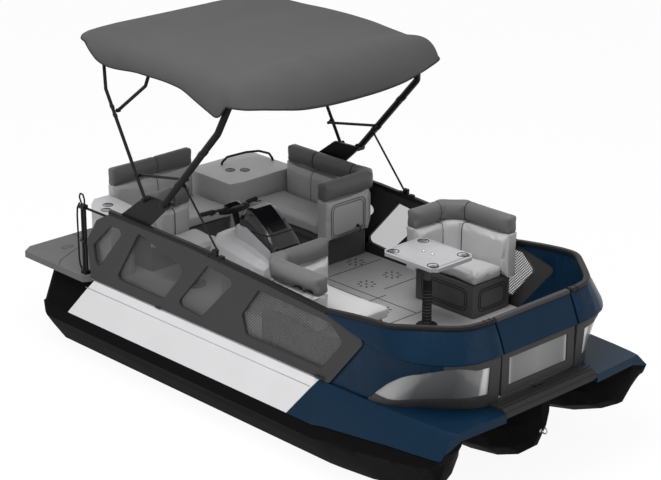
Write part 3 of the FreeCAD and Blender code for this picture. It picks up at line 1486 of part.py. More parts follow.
def build_tow_post():
    """Two uprights between a foot and a head, a bail on top and a stay to the fence."""
    x, y = HALF_LENGTH * TOW_POST_SHARES[0], size("deck_half_width") * TOW_POST_SHARES[1]
    half = float(size("tow_post_half"))
    radius = float(size("bar_radius"))
    foot, head = point(x, y, DECK_TOP), point(x, y, DECK_TOP + size("table_height"))
    post = None
    for place, tall in ((foot, half), (foot + (head - foot) / 2, half * 0.6), (head, half)):
        piece = block(place - Vector(half, half * 0.8, 0 if place == foot else tall),
                      place + Vector(half, half * 0.8, tall if place == foot else 0))
        post = piece if post is None else post.fuse(piece)
    for sign in (-1, 1):
        across = Vector(sign * (half - radius * 1.3), 0, 0)
        post = post.fuse(rod(foot + across, head + across, radius * 1.2))
    rise = float(size("bail_height"))
    loop = [head + Vector(half * out, 0, rise * up) for out, up in BAIL_SHARES]
    post = post.fuse(tube(loop, radius * 0.7, radius))
    side = float(size("fence_wall") - size("fence_outer")) + radius + float(size("clearance"))
    start = Vector(head.x, side, head.z - half)
    post = post.fuse(rod(start, Vector(float(HALF_LENGTH) * TOW_STAY_SHARE, side, start.z), radius))
    shaped("tow_post", post.removeSplitter())


def build_stern_rail():
    """The bare grab rail on the port corner table."""
    top = DECK_TOP + size("table_corner_height") + size("clearance")
    rise = size("stern_rail_height")
    radius = float(size("bar_radius"))
    half = size("deck_half_width")
    path = [point(HALF_LENGTH * x, half * y, top + rise * z) for x, y, z in STERN_RAIL_SHARES]
    shaped("stern_rail", tube(path, radius, radius * BEND_SHARE))


def jet_places():
    """Pump front and back, and the steering axis of the nozzle."""
    start = size("centre_aft_setback") - HALF_LENGTH
    front = point(start, ZERO, size("pump_height"))
    back = point(start - size("pump_length"), ZERO, size("pump_height"))
    swing = float(size("pump_radius")) * 0.88 * math.sin(math.radians(SWING_DEGREES))
    axis = back - Vector(swing + float(size("gate_gap")), 0, 0)
    return front, back, axis


SWING_DEGREES = 21
BLADES = 3
VANES = 5
BLADE_TWIST = 130


def build_jet():
    """Jet pump with stator and outlet, and the impeller in its bore."""
    front, back, axis = jet_places()
    radius, bore = float(size("pump_radius")), float(size("pump_bore"))
    pump = rod(front, back, radius).cut(rod(front, back, bore))
    hub = bore * 0.34
    fin = float(size("pane_wall")) * 1.5
    stator_start = back + Vector(fin * 6, 0, 0)
    vanes = rod(stator_start, back, hub)
    for i in range(VANES):
        vane = block(Vector(back.x, -fin / 2, back.z),
                     Vector(stator_start.x, fin / 2, back.z + (radius + bore) / 2))
        vane.rotate(back, Vector(1, 0, 0), i * 360 / VANES)
        vanes = vanes.fuse(vane)
    outlet_radius = radius * 0.60
    outlet_length = (back - axis).Length * 1.8
    ahead = Vector(-1, 0, 0)
    ring = Part.makeCone(outlet_radius, outlet_radius * 0.88, outlet_length, back, ahead)
    throat = Part.makeCone(outlet_radius * 0.86, outlet_radius * 0.74, outlet_length, back, ahead)
    wall = float(size("pane_wall")) * 2
    inner = back + Vector(wall, 0, 0)
    end_plate = rod(inner, back, (radius + bore) / 2).cut(rod(inner, back, outlet_radius * 0.9))
    pump = pump.fuse(vanes).fuse(end_plate).fuse(ring.cut(throat))
    pin = float(size("pin_radius"))
    narrowing = 1 - 0.28 * pin / float(size("nozzle_length"))
    top = float(size("pump_radius")) * 0.80 * 0.88 * narrowing - float(size("clearance")) * 2
    for sign in (-1, 1):
        start = axis + Vector(0, 0, sign * outlet_radius * 0.85)
        pump = pump.fuse(rod(start, axis + Vector(0, 0, sign * top), pin))
    shaft = hub * 0.45
    gap = float(size("clearance"))
    pump = pump.cut(rod(stator_start, stator_start - Vector(fin * 3, 0, 0), shaft + gap))
    shaped("jet_pump", pump.removeSplitter())
    build_impeller(front, stator_start, hub, shaft, fin)


def build_impeller(front, end, hub, shaft, fin):
    """Hub, shaft stub and swept blades."""
    gap = float(size("gate_gap"))
    nose = front - Vector(gap, 0, 0)
    tail = end + Vector(gap, 0, 0)
    wheel = rod(nose, tail, hub).fuse(rod(tail, end - Vector(fin * 2.5, 0, 0), shaft))
    tip = float(size("impeller_radius"))
    steps = 8
    span = (nose - tail).Length * 0.8
    for i in range(BLADES):
        twisted = []
        for k in range(steps + 1):
            angle = math.radians(BLADE_TWIST * k / steps + 360 / BLADES * i)
            side = Vector(0, -math.sin(angle), math.cos(angle))
            flat = Vector(0, math.cos(angle), math.sin(angle)) * (fin / 2)
            at = Vector(nose.x - span * 0.1 - span * k / steps, 0, nose.z)
            twisted.append([at + side * (hub * 0.6) - flat, at + side * tip * 0.98 - flat,
                            at + side * tip * 0.98 + flat, at + side * (hub * 0.6) + flat])
        wheel = wheel.fuse(ruled(twisted))
    shaped("impeller", wheel.removeSplitter())


def build_nozzle():
    """The steering nozzle, the bucket that swings down behind it and the ride plate."""
    front, back, axis = jet_places()
    radius, bore = float(size("pump_radius")) * 0.88, float(size("pump_radius")) * 0.80 * 0.88
    length = float(size("nozzle_length"))
    taper = 0.72
    aft = Vector(-1, 0, 0)
    shell = float(size("pane_wall")) * 2
    nozzle = Part.makeCone(radius, radius * taper, length, axis, aft)
    nozzle = nozzle.cut(Part.makeCone(bore, bore * taper, length, axis, aft))
    pin = float(size("pin_radius"))
    pivot = axis + aft * (length * 0.45)
    reach = radius + float(size("gate_gap")) * 2
    gap = float(size("clearance"))
    for sign in (-1, 1):
        start = pivot + Vector(0, sign * radius * 0.8, 0)
        nozzle = nozzle.fuse(rod(start, pivot + Vector(0, sign * (reach - shell - gap), 0), pin))
    shaped("jet_nozzle", nozzle.removeSplitter())
    around = length * 0.95
    side = Vector(0, 1, 0)
    cover = Part.makeCylinder(around, reach * 2, pivot - side * reach, side)
    inside = reach - shell
    cover = cover.cut(Part.makeCylinder(around - shell, inside * 2, pivot - side * inside, side))
    pump_top = float(size("pump_radius")) + shell
    far = Vector(length * 2, reach * 2, length * 2)
    away = block(pivot - far, pivot + Vector(far.x, far.y, pump_top))
    bucket = cover.cut(away)
    for sign in (-1, 1):
        y = sorted((sign * (reach - shell), sign * reach))
        low = Vector(pivot.x - shell * 2, y[0], pivot.z - shell * 2)
        arm = block(low, Vector(pivot.x + shell * 2, y[1], pivot.z + around * 0.93))
        bucket = bucket.fuse(arm)
    shaped("reverse_bucket", bucket.removeSplitter())
    plate_top = back.z - float(size("pump_radius"))
    plate = block(Vector(axis.x - length / 2, -radius, plate_top - shell), Vector(front.x, radius, plate_top))
    shaped("ride_plate", plate)


def build_all():
    build_sponsons()
    build_centre_hull()
    build_side_panels()
    build_bow_fairings()
    build_deck_beams()
    build_deck()
    build_platform()
    build_bow_step()
    build_fences()
    build_panes()
    build_bow_fence()
    build_gate()
    build_gate_posts()
    build_rails()
    build_seats()
    build_corner_tables()
    build_table()
    build_console()
    build_handlebar()
    build_tower()
    build_struts()
    build_canopy()
    build_tow_post()
    build_stern_rail()
    build_jet()
    build_nozzle()


def check_and_export():
    """Stops on any failed object or shape, then writes one file for each sub-part."""
    doc.recompute()
    for thing in doc.Objects:
        if "Invalid" in thing.State or "Error" in thing.State:
            raise RuntimeError(f"{thing.Name} failed: {thing.State}")
    os.makedirs("parts", exist_ok=True)
    for node, thing in PARTS:
        if thing.Shape.isNull() or not thing.Shape.isValid() or not thing.Shape.Solids:
            raise RuntimeError(f"{node} has no valid shape")
    for node, thing in PARTS:
        thing.Shape.exportStep(f"parts/{node}.step")
        box = thing.Shape.BoundBox
        print(f"{node:26s} {box.XMin:8.0f}{box.XMax:8.0f}{box.YMin:8.0f}{box.YMax:8.0f}"
              f"{box.ZMin:8.0f}{box.ZMax:8.0f} solids {len(thing.Shape.Solids)}")


build_all()
check_and_export()
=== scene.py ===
# %% [markdown]
# # A pontoon boat, dressed for its portrait
# The boat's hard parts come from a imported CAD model, which stays as it is.
# This file gives those parts their finishes, and makes what CAD leaves plain:
# the stretched canopy cloth, the padded seats, and the small fittings.
# Lengths are metres. +X points to the bow, +Y to port and +Z up, with the floor at zero.

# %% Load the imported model
import json
import math

import bpy
import bmesh
import numpy as np
from mathutils import Matrix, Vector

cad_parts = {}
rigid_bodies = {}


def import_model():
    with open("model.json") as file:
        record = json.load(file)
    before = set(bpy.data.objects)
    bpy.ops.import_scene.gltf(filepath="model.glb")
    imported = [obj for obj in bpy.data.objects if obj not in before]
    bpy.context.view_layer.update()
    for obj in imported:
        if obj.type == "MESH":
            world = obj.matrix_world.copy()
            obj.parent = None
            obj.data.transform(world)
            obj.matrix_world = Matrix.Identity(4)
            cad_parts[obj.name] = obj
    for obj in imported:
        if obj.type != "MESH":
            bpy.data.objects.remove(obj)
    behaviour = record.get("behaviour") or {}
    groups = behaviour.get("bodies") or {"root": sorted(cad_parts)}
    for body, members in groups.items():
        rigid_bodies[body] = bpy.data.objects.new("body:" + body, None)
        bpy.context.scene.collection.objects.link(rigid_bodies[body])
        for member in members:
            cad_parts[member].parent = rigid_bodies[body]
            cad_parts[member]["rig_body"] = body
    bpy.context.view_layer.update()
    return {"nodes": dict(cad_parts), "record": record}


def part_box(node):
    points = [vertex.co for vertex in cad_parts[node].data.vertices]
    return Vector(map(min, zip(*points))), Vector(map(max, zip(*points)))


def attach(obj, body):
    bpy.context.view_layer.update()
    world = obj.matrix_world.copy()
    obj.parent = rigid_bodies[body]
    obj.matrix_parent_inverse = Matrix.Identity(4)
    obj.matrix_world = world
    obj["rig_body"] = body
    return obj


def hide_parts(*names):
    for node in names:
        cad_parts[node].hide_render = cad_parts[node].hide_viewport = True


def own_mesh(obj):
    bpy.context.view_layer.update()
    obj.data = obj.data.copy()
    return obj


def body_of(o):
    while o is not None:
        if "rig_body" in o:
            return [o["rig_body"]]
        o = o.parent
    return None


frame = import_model()
nodes = frame["nodes"]
scene = bpy.context.scene
X, Y, Z = 0, 1, 2
SIDES = ((1, "port"), (-1, "starboard"))

# %% [markdown]
# ## The camera
# The photograph was taken from the starboard bow with a long lens, a little above the canopy.
# The angles and the place were fitted to corners of the boat that are known in metres.
# A camera looks along its own -Z, so a quarter turn about X levels it before it is tipped down.

# %% Place the camera
YAW, TIP, ROLL = math.radians(46.181), math.radians(20.481), math.radians(0.214)
LEVEL = math.radians(90)
CAMERA_PLACE = (11.9758, -11.3113, 7.4724)
LENS, SENSOR = 111.14, 36
FAR_CLIP = 200

lens = bpy.data.cameras.new("view")
lens.lens = LENS
lens.sensor_width = SENSOR
lens.clip_end = FAR_CLIP
camera = bpy.data.objects.new("view", lens)
turn = (Matrix.Rotation(YAW, 4, "Z") @ Matrix.Rotation(LEVEL - TIP, 4, "X")
        @ Matrix.Rotation(ROLL, 4, "Z"))
camera.matrix_world = Matrix.Translation(CAMERA_PLACE) @ turn
scene.collection.objects.link(camera)
scene.camera = camera
print("camera height", round(camera.location.z, 2), "m")

# %% [markdown]
# ## Light and floor
# A studio tent lights such a boat evenly: a bright sky all round, and large soft lamps.
# The camera, mirrors and glass see the world as plain white, at strength 1, while the light that
# falls on the boat from it is a weaker even fill. The floor is pale paper. Most of what the camera
# sees of it is the same plain white, and the rest is lit, so that the shadow stays light.

# %% Plain white for the camera, mirrors and glass


def seen_directly(tree):
    """1 for rays from the camera, mirrors and glass, and 0 for the light that falls on things:
    the largest of three outputs of Light Path."""
    path = tree.nodes.new("ShaderNodeLightPath")
    seen = path.outputs["Is Camera Ray"]
    for word in ("Is Glossy Ray", "Is Transmission Ray"):
        larger = tree.nodes.new("ShaderNodeMath")
        larger.operation = "MAXIMUM"
        tree.links.new(seen, larger.inputs[0])
        tree.links.new(path.outputs[word], larger.inputs[1])
        seen = larger.outputs[0]
    return seen


def show(tree, share, lit, white, output):
    """The output node shows lit * (1 - share) + white * share."""
    mix = tree.nodes.new("ShaderNodeMixShader")
    tree.links.new(share, mix.inputs[0])
    tree.links.new(lit.outputs[0], mix.inputs[1])
    tree.links.new(white.outputs[0], mix.inputs[2])
    tree.links.new(mix.outputs[0], tree.nodes.new(output).inputs[0])


FILL = 0.66
scene.view_settings.view_transform = "Standard"
world = bpy.data.worlds.new("tent")
scene.world = world
world.use_nodes = True
tree = world.node_tree
tree.nodes.clear()
white, fill = [tree.nodes.new("ShaderNodeBackground") for _ in range(2)]
for light, strength in ((white, 1.0), (fill, FILL)):
    light.inputs["Color"].default_value = (1, 1, 1, 1)
    light.inputs["Strength"].default_value = strength
show(tree, seen_directly(tree), fill, white, "ShaderNodeOutputWorld")
print("world fill:", FILL)

# %% Soft lamps
LAMPS = {
    "overhead": ((1.0, -3.0, 9.5), (0.5, 0, 0.8), 6.0, 760),
    "bow": ((11.0, 2.0, 4.5), (0, 0, 0.8), 5.0, 130),
}


def soft_lamp(name, place, aim, size, power):
    """A square lamp at place that faces aim: tipped from straight down, then swung about Z."""
    lamp = bpy.data.lights.new(name, "AREA")
    lamp.size = size
    lamp.energy = power
    holder = bpy.data.objects.new(name, lamp)
    ahead = np.array(aim, float) - np.array(place, float)
    tip = math.atan2(math.hypot(ahead[X], ahead[Y]), -ahead[Z])
    swing = math.atan2(-ahead[X], ahead[Y])
    holder.matrix_world = (Matrix.Translation(place) @ Matrix.Rotation(swing, 4, "Z")
                           @ Matrix.Rotation(tip, 4, "X"))
    scene.collection.objects.link(holder)


for name, settings in LAMPS.items():
    soft_lamp(name, *settings)
print("lamps:", len(LAMPS))

# %% Paper floor
REACH = 60.0
PAPER_GREY, WHITE_SHARE = 0.92, 0.93

floor_mesh = bpy.data.meshes.new("floor")
corners = [(-REACH, -REACH, 0), (REACH, -REACH, 0), (REACH, REACH, 0), (-REACH, REACH, 0)]
floor_mesh.from_pydata(corners, [], [(0, 1, 2, 3)])
floor = bpy.data.objects.new("floor", floor_mesh)
scene.collection.objects.link(floor)
paper = bpy.data.materials.new("paper")
paper.use_nodes = True
tree = paper.node_tree
tree.nodes.clear()
matt = tree.nodes.new("ShaderNodeBsdfDiffuse")
matt.inputs["Color"].default_value = (PAPER_GREY, PAPER_GREY, PAPER_GREY, 1)
glow = tree.nodes.new("ShaderNodeEmission")
white_part = tree.nodes.new("ShaderNodeMath")
white_part.operation = "MULTIPLY"
white_part.inputs[1].default_value = WHITE_SHARE
tree.links.new(seen_directly(tree), white_part.inputs[0])
show(tree, white_part.outputs[0], matt, glow, "ShaderNodeOutputMaterial")
floor_mesh.materials.append(paper)
print("floor", 2 * REACH, "m wide")

# %% [markdown]
# ## Finishes
# Moulded plastic is never one flat colour. It has a fine grain that scatters the light,
# and a slow drift of gloss from handling and wear. Both come from noise in Object coordinates,
# so the grain has the same size on every part. One function makes each finish from a few numbers.

# %% A finish from a few numbers
DRIFT_SCALE, DRIFT_DETAIL, GRAIN_DETAIL = 3.0, 4.0, 2.0
COAT_ROUGH, SHEEN_ROUGH = 0.08, 0.45
SHADE_LOW, SHADE_HIGH = 0.3, 0.7


def noise(tree, scale, detail):
    """Noise in Object coordinates, with cells of 1 / scale metres."""
    where = tree.nodes.new("ShaderNodeTexCoord")
    node = tree.nodes.new("ShaderNodeTexNoise")
    node.inputs["Scale"].default_value = scale
    node.inputs["Detail"].default_value = detail
    tree.links.new(where.outputs["Object"], node.inputs["Vector"])
    return node.outputs["Fac"]


def finish(name, colour, rough, grain=0.0, grain_size=0.002, drift=0.06, tint=0.06, coat=0.0, metal=0.0,
           sheen=0.0, shine=0.5):
    """Principled surface: roughness = rough + drift * slow noise, colour * (1 + tint * slow noise),
    and a bump of height grain (metres) from noise with cells of grain_size metres."""
    material = bpy.data.materials.new(name)
    material.use_nodes = True
    tree = material.node_tree
    surface = tree.nodes["Principled BSDF"]
    for socket, value in (("Metallic", metal), ("Coat Weight", coat), ("Coat Roughness", COAT_ROUGH),
                          ("Sheen Weight", sheen), ("Sheen Roughness", SHEEN_ROUGH),
                          ("Specular IOR Level", shine)):
        surface.inputs[socket].default_value = value
    slow = noise(tree, DRIFT_SCALE, DRIFT_DETAIL)
    span = tree.nodes.new("ShaderNodeMapRange")
    span.inputs["To Min"].default_value = rough - drift
    span.inputs["To Max"].default_value = rough + drift
    tree.links.new(slow, span.inputs["Value"])
    tree.links.new(span.outputs["Result"], surface.inputs["Roughness"])
    shades = tree.nodes.new("ShaderNodeValToRGB")
    low, high = shades.color_ramp.elements
    low.position, high.position = SHADE_LOW, SHADE_HIGH
    low.color = (*[c * (1 - tint) for c in colour], 1)
    high.color = (*[min(c * (1 + tint), 1) for c in colour], 1)
    tree.links.new(slow, shades.inputs["Fac"])
    tree.links.new(shades.outputs["Color"], surface.inputs["Base Color"])
    if grain:
        bump = tree.nodes.new("ShaderNodeBump")
        bump.inputs["Distance"].default_value = grain
        tree.links.new(noise(tree, 1 / grain_size, GRAIN_DETAIL), bump.inputs["Height"])
        tree.links.new(bump.outputs["Normal"], surface.inputs["Normal"])
    return material


# %% Plastic of the hull, deck and fence
hull_black = finish("hull_black", (0.0050, 0.0050, 0.0054), 0.55, grain=0.0004, grain_size=0.004, shine=0.01)
panel_white = finish("panel_white", (0.60, 0.60, 0.61), 0.30, tint=0.02, coat=0.2)
bow_blue = finish("bow_blue", (0.0032, 0.0170, 0.038), 0.36, drift=0.05, coat=0.02, shine=0.07)
deck_grey = finish("deck_grey", (0.38, 0.38, 0.38), 0.62, grain=0.0008, grain_size=0.005, shine=0.3)
platform_grey = finish("platform_grey", (0.11, 0.11, 0.11), 0.62, grain=0.0008, grain_size=0.005, shine=0.2)
step_grey = finish("step_grey", (0.024, 0.024, 0.025), 0.55, grain=0.0006, grain_size=0.004, shine=0.10)
fence_grey = finish("fence_grey", (0.042, 0.042, 0.043), 0.50, grain=0.0002, shine=0.10)
print("materials so far:", len(bpy.data.materials))

# %% Seats, tables and console
seat_light = finish("seat_light", (0.42, 0.42, 0.42), 0.50, grain=0.0005, grain_size=0.003, sheen=0.08,
                    shine=0.4)
seat_dark = finish("seat_dark", (0.110, 0.110, 0.112), 0.52, grain=0.0005, grain_size=0.003, sheen=0.05,
                   shine=0.3)
base_grey = finish("base_grey", (0.085, 0.085, 0.087), 0.50, grain=0.0003, shine=0.3)
table_grey = finish("table_grey", (0.36, 0.36, 0.37), 0.42, grain=0.0002)
corner_light = finish("corner_light", (0.48, 0.48, 0.49), 0.42, grain=0.0002, shine=0.3)
console_light = finish("console_light", (0.40, 0.40, 0.41), 0.38, grain=0.0002)
lid_black = finish("lid_black", (0.004, 0.004, 0.005), 0.16, drift=0.04, coat=0.2, shine=0.3)
print("materials so far:", len(bpy.data.materials))

# %% Metal, cloth and dark rubber
frame_black = finish("frame_black", (0.009, 0.009, 0.010), 0.42, grain=0.0002, shine=0.12)
bare_metal = finish("bare_metal", (0.48, 0.48, 0.49), 0.32, metal=1.0)
beam_metal = finish("beam_metal", (0.30, 0.30, 0.31), 0.45, metal=1.0)
plate_silver = finish("plate_silver", (0.30, 0.30, 0.31), 0.36, grain=0.0002)
canopy_weave = finish("canopy_weave", (0.066, 0.066, 0.068), 0.88, grain=0.0006, grain_size=0.0016,
                      tint=0.05, shine=0.15)
canopy_dark = finish("canopy_dark", (0.020, 0.020, 0.021), 0.80, grain=0.0004, shine=0.15)
seam_black = finish("seam_black", (0.012, 0.012, 0.013), 0.60, grain=0.0002, shine=0.2)
print("materials so far:", len(bpy.data.materials))

# %% [markdown]
# ## Panes and windows
# The fence panes are smoked plastic, with a woven screen towards the bow. A screen is too fine to
# model thread by thread, so two sine waves across each other say where a thread is.
# The bow windows are one smoked sheet that mirrors a pale band at its edges. A colour ramp along
# the boat's width paints that band, because the tent is too even to show it.

# %% Finishes that change along the piece
WAVE_CUT = -0.15
COOL = 1.01


def graded(material, axis, ends, stops):
    """Colour by place: the size of one object coordinate, from ends[0] to ends[1] metres, runs
    through stops of (share, grey), with blue COOL times the grey."""
    tree = material.node_tree
    where = tree.nodes.new("ShaderNodeTexCoord")
    parts = tree.nodes.new("ShaderNodeSeparateXYZ")
    size = tree.nodes.new("ShaderNodeMath")
    size.operation = "ABSOLUTE"
    span = tree.nodes.new("ShaderNodeMapRange")
    span.inputs["From Min"].default_value, span.inputs["From Max"].default_value = ends
    shades = tree.nodes.new("ShaderNodeValToRGB")
    for share, grey in stops[2:]:
        shades.color_ramp.elements.new(share)
    for stop, (share, grey) in zip(shades.color_ramp.elements, stops):
        stop.position = share
        stop.color = (grey, grey, grey * COOL, 1)
    tree.links.new(where.outputs["Object"], parts.inputs[0])
    tree.links.new(parts.outputs[axis], size.inputs[0])
    tree.links.new(size.outputs[0], span.inputs["Value"])
    tree.links.new(span.outputs["Result"], shades.inputs["Fac"])
    tree.links.new(shades.outputs["Color"], tree.nodes["Principled BSDF"].inputs["Base Color"])
    return material


def screened(material, start, pitch, clear, thread):
    """See-through pane: alpha is clear aft of x = start. Ahead of it the pane is a woven screen, with
    alpha thread where sin(x) * sin(z) > WAVE_CUT on a grid of the given pitch, and clear / 2 in its holes."""
    tree = material.node_tree
    where = tree.nodes.new("ShaderNodeTexCoord")
    parts = tree.nodes.new("ShaderNodeSeparateXYZ")
    tree.links.new(where.outputs["Object"], parts.inputs[0])

    def step(operation, *values):
        """One Math node on numbers or sockets."""
        node = tree.nodes.new("ShaderNodeMath")
        node.operation = operation
        for socket, value in zip(node.inputs, values):
            if isinstance(value, (int, float)):
                socket.default_value = value
            else:
                tree.links.new(value, socket)
        return node.outputs[0]

    waves = [step("SINE", step("MULTIPLY", parts.outputs[axis], 2 * math.pi / pitch)) for axis in (X, Z)]
    solid = step("GREATER_THAN", step("MULTIPLY", *waves), WAVE_CUT)
    weave = step("ADD", step("MULTIPLY", solid, thread - clear / 2), clear / 2)
    ahead = step("GREATER_THAN", parts.outputs[X], start)
    aft = step("SUBTRACT", 1, ahead)
    alpha = step("ADD", step("MULTIPLY", ahead, weave), step("MULTIPLY", aft, clear))
    tree.links.new(alpha, tree.nodes["Principled BSDF"].inputs["Alpha"])
    return material


smoked = screened(finish("smoked", (0.10, 0.10, 0.10), 0.25, shine=0.3), start=0.305, pitch=0.026,
                  clear=0.30, thread=0.80)
window_grey = graded(finish("window_grey", (0.16, 0.16, 0.165), 0.20, coat=0.1), Y, (0.556, 1.118),
                     [(0.0, 0.16), (0.045, 0.55), (0.10, 0.50), (0.135, 0.16), (0.45, 0.085),
                      (0.78, 0.10), (0.93, 0.30)])
# The gate inset's ramp is a painted reflection too: a pale band at its outer edge.
inset_grey = graded(finish("inset_grey", (0.16, 0.16, 0.165), 0.30, coat=0.1), Y, (0.0, 0.344),
                    [(0.0, 0.17), (0.80, 0.12), (0.90, 0.14), (1.0, 0.42)])
print("materials:", len(bpy.data.materials))

# %% [markdown]
# ## Dressing the CAD parts
# A CAD mesh has knife-sharp edges, and real mouldings have none.
# A Weld joins its loose triangles, and a small Bevel rounds each edge, without touching the mesh itself.

# %% Finishes and rounded edges for the CAD parts
WELD_REACH = 0.00005


def rounded(part, width, sharp):
    """A live Bevel: edges sharper than so many degrees are rounded by width metres."""
    bevel = part.modifiers.new("round", "BEVEL")
    bevel.width = width
    bevel.segments = 2
    bevel.limit_method = "ANGLE"
    bevel.angle_limit = math.radians(sharp)
    return bevel


def dress(material, names, width=0.0):
    """Give these CAD nodes one finish, and weld and round them if width isn't zero."""
    for name in names.split():
        part = nodes[name]
        part.data.materials.clear()
        part.data.materials.append(material)
        for face in part.data.polygons:
            face.material_index = 0
        if width:
            part.modifiers.new("weld", "WELD").merge_threshold = WELD_REACH
            rounded(part, width, sharp=28).harden_normals = True


dress(hull_black, "sponson_port sponson_starboard hull_center", 0.008)
dress(panel_white, "side_panel_port side_panel_starboard", 0.004)
dress(bow_blue, "bow_fairing_port bow_fairing_starboard bow_panel_port bow_panel_starboard gate_panel", 0.005)
dress(deck_grey, "deck_floor", 0.006)
dress(platform_grey, "swim_platform", 0.006)
dress(step_grey, "bow_step", 0.005)
dress(fence_grey, "fence_panel_port fence_panel_starboard bow_frame_port bow_frame_starboard", 0.003)
dress(fence_grey, "gate_frame", 0.003)
dress(smoked, "fence_panes")
dress(window_grey, "bow_windows")
dress(inset_grey, "gate_inset", 0.003)
dress(frame_black, "gate_posts rail_port rail_starboard tower_plates", 0.003)
dress(frame_black, "tower_legs tower_stays tower_bow tower_struts tower_braces", 0.001)
dress(frame_black, "tow_post stern_rail handlebar", 0.001)
dress(base_grey, "seat_bases helm_seat_pedestal", 0.016)
dress(base_grey, "table_leg", 0.004)
dress(corner_light, "corner_table_port corner_table_starboard", 0.014)
dress(table_grey, "table_top", 0.006)
dress(console_light, "console_body console_cowl", 0.020)
dress(lid_black, "console_lid", 0.024)
dress(beam_metal, "deck_frame engine_block ride_plate", 0.002)
dress(bare_metal, "jet_pump jet_nozzle reverse_bucket impeller", 0.001)
print("dressed nodes:", sum(1 for part in nodes.values() if part.modifiers))

# %% [markdown]
# ## Shapes as arrays
# Most of the small pieces are one of three kinds: a sheet worked out on a grid, a profile carried
# along a path, or a profile turned round an axis. Each is a formula on whole numpy arrays,
# so there is no walking from vertex to vertex, and the same few helpers make every fitting.

# %% Curves, grids and rings


def through(knots, values, t):
    """Smooth curve through (knots, values): on each stretch the cubic whose end slopes are the
    central differences of the values."""
    slopes = np.gradient(values, knots)
    k = np.clip(np.searchsorted(knots, t, side="right") - 1, 0, len(knots) - 2)
    h = knots[k + 1] - knots[k]
    s = (t - knots[k]) / h
    return ((2 * s**3 - 3 * s**2 + 1) * values[k] + (s**3 - 2 * s**2 + s) * h * slopes[k]
            + (3 * s**2 - 2 * s**3) * values[k + 1] + (s**3 - s**2) * h * slopes[k + 1])


def grid_faces(rows, columns, round_rows=False, round_columns=False):
    """Quads of a rows x columns grid; a round direction joins its last line to its first."""
    i = np.arange(rows if round_rows else rows - 1)[:, None]
    j = np.arange(columns if round_columns else columns - 1)[None, :]
    a, b = i * columns + j, i * columns + (j + 1) % columns
    c, d = ((i + 1) % rows) * columns + (j + 1) % columns, ((i + 1) % rows) * columns + j
    return np.stack([a, b, c, d], axis=-1).reshape(-1, 4)


def ring_faces(rings, sides, closed=False):
    """Quads between rings of points, and a flat cap on the first and last ring of an open row."""
    faces = grid_faces(rings, sides, closed, True).tolist()
    if not closed:
        last = (rings - 1) * sides
        faces += [list(range(sides - 1, -1, -1)), list(range(last, last + sides))]
    return faces


def border(grid):
    """The outer line of a grid of rows and columns, once round."""
    return np.concatenate([grid[0], grid[1:, -1], grid[-1, -2::-1], grid[-2:0:-1, 0]])


def ring_of(count):
    """Unit circle as (count, 2), counter-clockwise."""
    angle = np.linspace(0, 2 * math.pi, count, endpoint=False)
    return np.stack([np.cos(angle), np.sin(angle)], axis=-1)


def circle_line(place, radius, axis, count):
    """A closed circle square to one axis: place + radius * (cos, sin) in the other two."""
    line = np.zeros((count, 3))
    line[:, [k for k in (X, Y, Z) if k != axis]] = radius * ring_of(count)
    return np.asarray(place, float) + line


def rounded_box(low, high, radius, count=6):
    """A rectangle between two (a, b) corners as a closed line: each rounded corner is a middle plus
    a quarter circle."""
    (a0, b0), (a1, b1) = np.array(low) + radius, np.array(high) - radius
    middles = np.array([(a1, b1), (a0, b1), (a0, b0), (a1, b0)])
    turns = np.arange(4)[:, None] * math.pi / 2 + np.linspace(0, math.pi / 2, count)[None]
    return (middles[:, None] + radius * np.stack([np.cos(turns), np.sin(turns)], axis=-1)).reshape(-1, 2)


# %% Tubes, turned shapes, ribbons and plates


def ahead_of(path, closed):
    """Unit direction at each point of a path, from the point before to the point after."""
    ahead = np.roll(path, -1, axis=0) - np.roll(path, 1, axis=0) if closed else np.gradient(path, axis=0)
    return ahead / np.linalg.norm(ahead, axis=1)[:, None]


def tube_mesh(path, radius, sides=12, closed=False, up=(0, 0, 1)):
    """Points and faces of a tube: at each path point a circle of the given radius, in the plane
    square to the path's own direction. The radius may change along the path."""
    path = np.asarray(path, float)
    ahead = ahead_of(path, closed)
    side = np.cross(ahead, np.asarray(up, float))
    side /= np.linalg.norm(side, axis=1)[:, None]
    rise = np.cross(side, ahead)
    circle = ring_of(sides)
    size = np.broadcast_to(np.asarray(radius, float), (len(path),))[:, None, None]
    points = path[:, None] + size * (circle[:, :1] * side[:, None] + circle[:, 1:] * rise[:, None])
    return points.reshape(-1, 3), ring_faces(len(path), sides, closed)


def turned_mesh(profile, centre, axis=(0, 0, 1), sides=20):
    """Points and faces of a turned piece: profile rows are (radius, height along the axis). The first
    direction across is square to the axis and to any other direction that isn't along it."""
    profile = np.asarray(profile, float)
    axis = np.asarray(axis, float) / np.linalg.norm(axis)
    across = np.cross(axis, (0.31, 0.22, 0.92) if abs(axis[Z]) < 0.9 else (1.0, 0.0, 0.0))
    across /= np.linalg.norm(across)
    circle = ring_of(sides)
    flat = circle[:, :1] * across + circle[:, 1:] * np.cross(axis, across)
    points = np.asarray(centre, float) + profile[:, :1, None] * flat[None] + profile[:, 1:, None] * axis
    return points.reshape(-1, 3), ring_faces(len(profile), sides)


def ribbon_mesh(path, width, base, lift, closed=False):
    """A low strip along a flat path: four lines, two just under the base and two narrower ones at
    base + lift."""
    path = np.asarray(path, float)
    ahead = ahead_of(path, closed)
    side = np.stack([-ahead[:, 1], ahead[:, 0]], axis=-1)
    rows = [np.column_stack([path + side * width * share, np.full(len(path), base + high)])
            for share, high in ((-0.5, -0.001), (-0.38, lift), (0.38, lift), (0.5, -0.001))]
    return np.stack(rows, axis=1).reshape(-1, 3), ring_faces(len(path), len(rows), closed)


